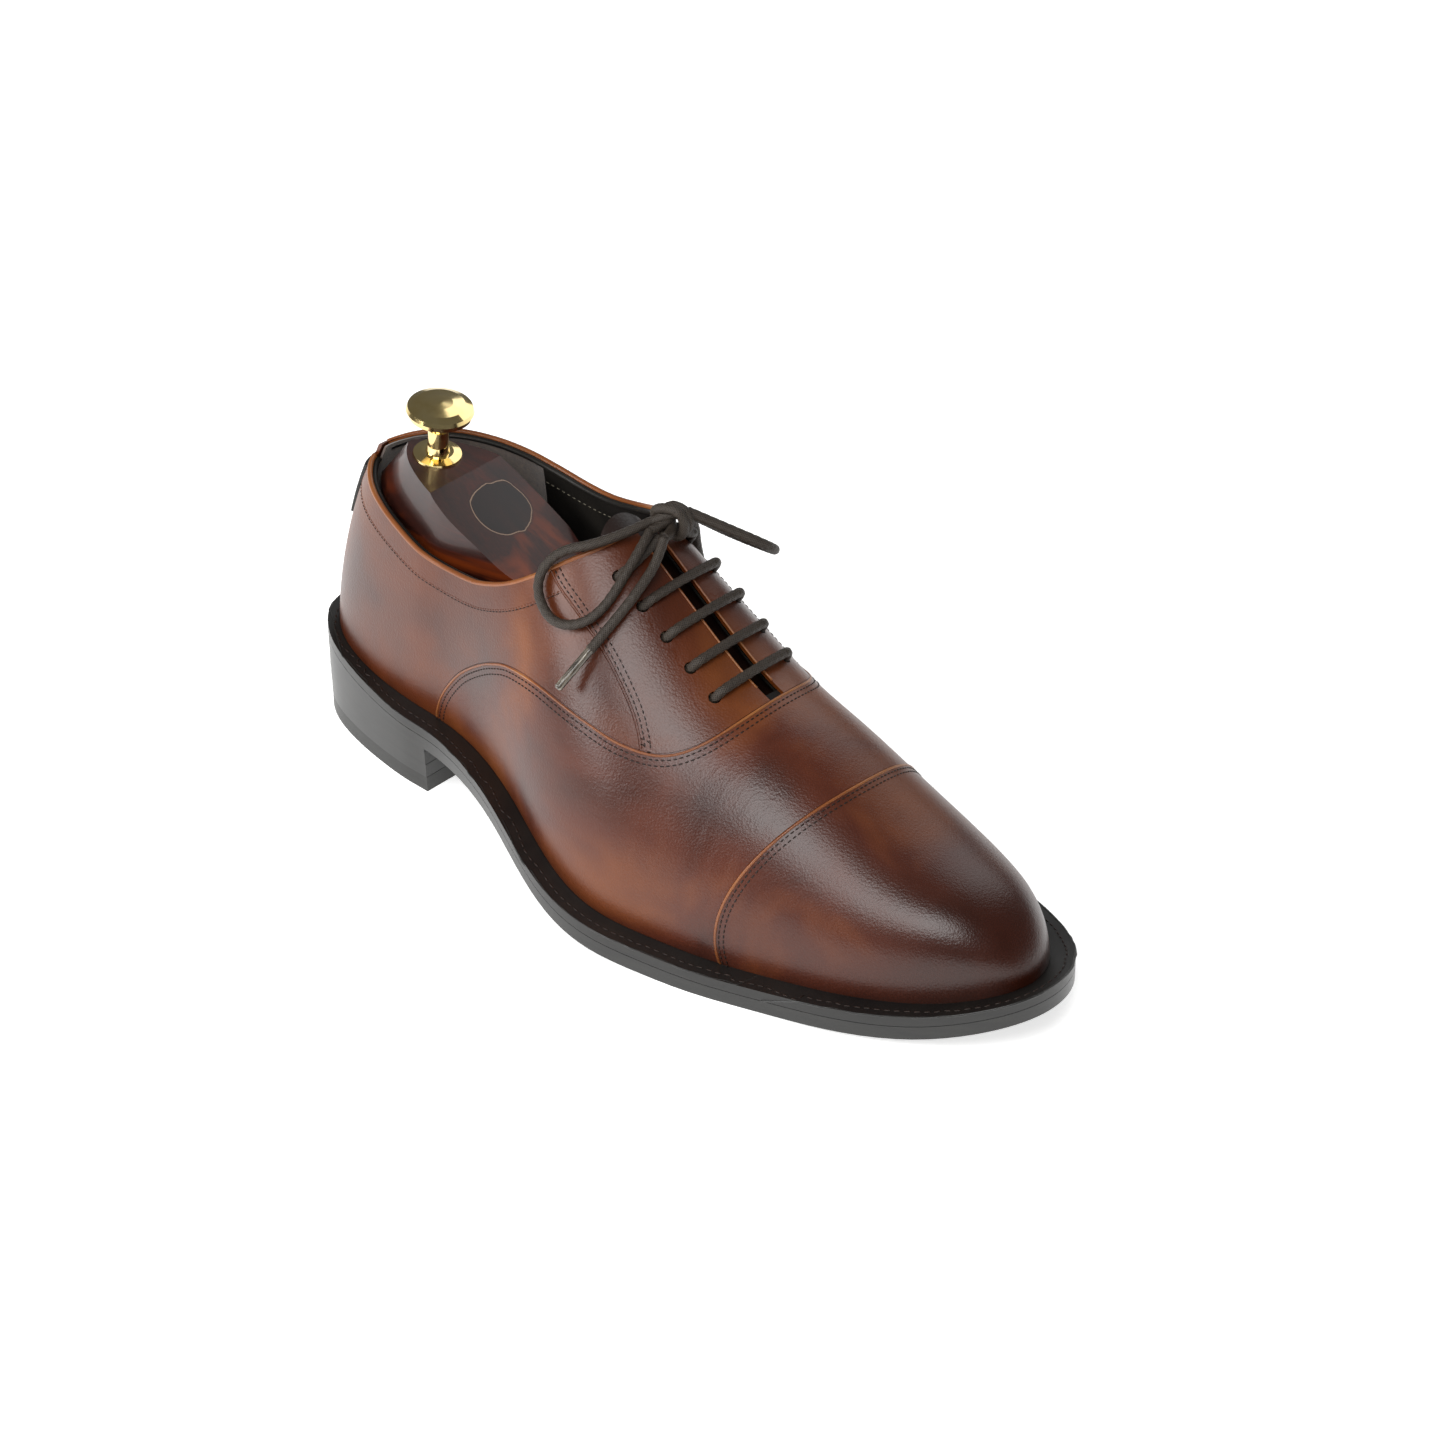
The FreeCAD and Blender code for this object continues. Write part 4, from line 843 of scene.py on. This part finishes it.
# ---------------------------------------------------------------- shoe tree
# Red-brown hardwood turned and sanded to the last's shape, stained, and given three coats of clear lacquer.
# The heel block shows one dark round knot, a thin pale ring round it that is painted highlight of light
# glinting off the fine cracks at its rim, and a little orange grain below it.
wood, tree, shader = finish("lacquered_hardwood", {"Roughness": 0.42, "Coat Weight": 0.4,
                                                   "Coat Roughness": 0.12})
where = add(tree, "TexCoord")
knot_place = add(tree, "Mapping", {"Location": (-0.0350, -0.0010, -0.0935)},
                 {"Vector": where.outputs["Object"]})
from_knot = add(tree, "VectorMath", {"operation": "LENGTH"}, {"Vector": knot_place.outputs["Vector"]})
drawn_out = add(tree, "Mapping", {"Scale": (0.22, 1.0, 1.0), "Rotation": (0, 0, math.radians(14))},
                {"Vector": where.outputs["Object"]})
pull = add(tree, "TexNoise", {"Scale": 42.0, "Detail": 4.0, "Distortion": 1.2},
           {"Vector": drawn_out.outputs["Vector"]})
fibres = add(tree, "Mapping", {"Scale": (0.06, 1.0, 1.0)}, {"Vector": where.outputs["Object"]})
pores = add(tree, "TexNoise", {"Scale": 1100.0, "Detail": 3.0}, {"Vector": fibres.outputs["Vector"]})
streak = add(tree, "Math", {"operation": "MULTIPLY_ADD", 1: 0.35},
             {0: pores.outputs["Fac"], 2: pull.outputs["Fac"]})
tone = add(tree, "ValToRGB", {"stops": [(0.45, "#1a0805"), (0.68, "#300f07"), (0.9, "#4a1607")]},
           {"Fac": streak.outputs["Value"]})
# orange grain low on the block's front slope
axes = add(tree, "SeparateXYZ", {}, {"Vector": where.outputs["Object"]})
low = add(tree, "MapRange", {"From Min": 0.078, "From Max": 0.094, "To Min": 1.0, "To Max": 0.0},
          {"Value": axes.outputs["Z"]})
flame = add(tree, "MapRange", {"From Min": 0.52, "From Max": 0.62, "To Min": 0.0, "To Max": 0.8},
            {"Value": pull.outputs["Fac"]})
glow = add(tree, "Math", {"operation": "MULTIPLY"},
           {0: low.outputs["Result"], 1: flame.outputs["Result"]})
warm = add(tree, "Mix", {"data_type": "RGBA", 7: linear("#8a3a0c")},
           {0: glow.outputs["Value"], 6: tone.outputs["Color"]})
# the knot, 21 mm across, and a thin pale ring round it: painted highlight of light glinting off the fine
# crack at its rim
ink = add(tree, "MapRange", {"From Min": 0.0095, "From Max": 0.0112, "To Min": 0.85, "To Max": 0.0},
          {"Value": from_knot.outputs["Value"]})
knotted = add(tree, "Mix", {"data_type": "RGBA", 7: linear("#0e0605")},
              {0: ink.outputs["Result"], 6: warm.outputs[2]})
uneven = add(tree, "Math", {"operation": "MULTIPLY_ADD", 1: 0.006},
             {0: pull.outputs["Fac"], 2: from_knot.outputs["Value"]})
crack_glint_ring = add(tree, "Math", {"operation": "COMPARE", 1: 0.0135, 2: 0.00018}, {0: uneven.outputs["Value"]})
knot_and_crack_glint = add(tree, "Mix", {"data_type": "RGBA", 7: linear("#8d7460")},
              {0: crack_glint_ring.outputs["Value"], 6: knotted.outputs[2]})
tree.links.new(knot_and_crack_glint.outputs[2], shader.inputs["Base Color"])
for name in ("tree_forepart", "tree_heel_block"):
    nodes[name].material_slots[0].material = wood

# Polished steel tube, rod, pin and spring between the two halves.
plain("polished_steel", "#8f9194", "#b9bbbe", 90.0, 0.25, 0.03,
      ["tree_tube", "tree_rod", "tree_pivot_pin", "tree_spring"], 1.0)

# Turned and polished brass, lacquered: a ring plate let into the wood and a
# domed knob on a waisted stem.
brass, tree, shader = finish("polished_brass", {"Metallic": 1.0, "Coat Weight": 0.3, "Coat Roughness": 0.03})
where = add(tree, "TexCoord")
handled = add(tree, "TexNoise", {"Scale": 90.0, "Detail": 5.0}, {"Vector": where.outputs["Object"]})
gold = add(tree, "ValToRGB", {"stops": [(0.3, "#f3d68c"), (0.7, "#ffe9ae")]},
           {"Fac": handled.outputs["Fac"]})
haze = add(tree, "MapRange", {"To Min": 0.07, "To Max": 0.17}, {"Value": handled.outputs["Fac"]})
tree.links.new(gold.outputs["Color"], shader.inputs["Base Color"])
tree.links.new(haze.outputs["Result"], shader.inputs["Roughness"])
for name in ("knob", "knob_plate"):
    nodes[name].material_slots[0].material = brass
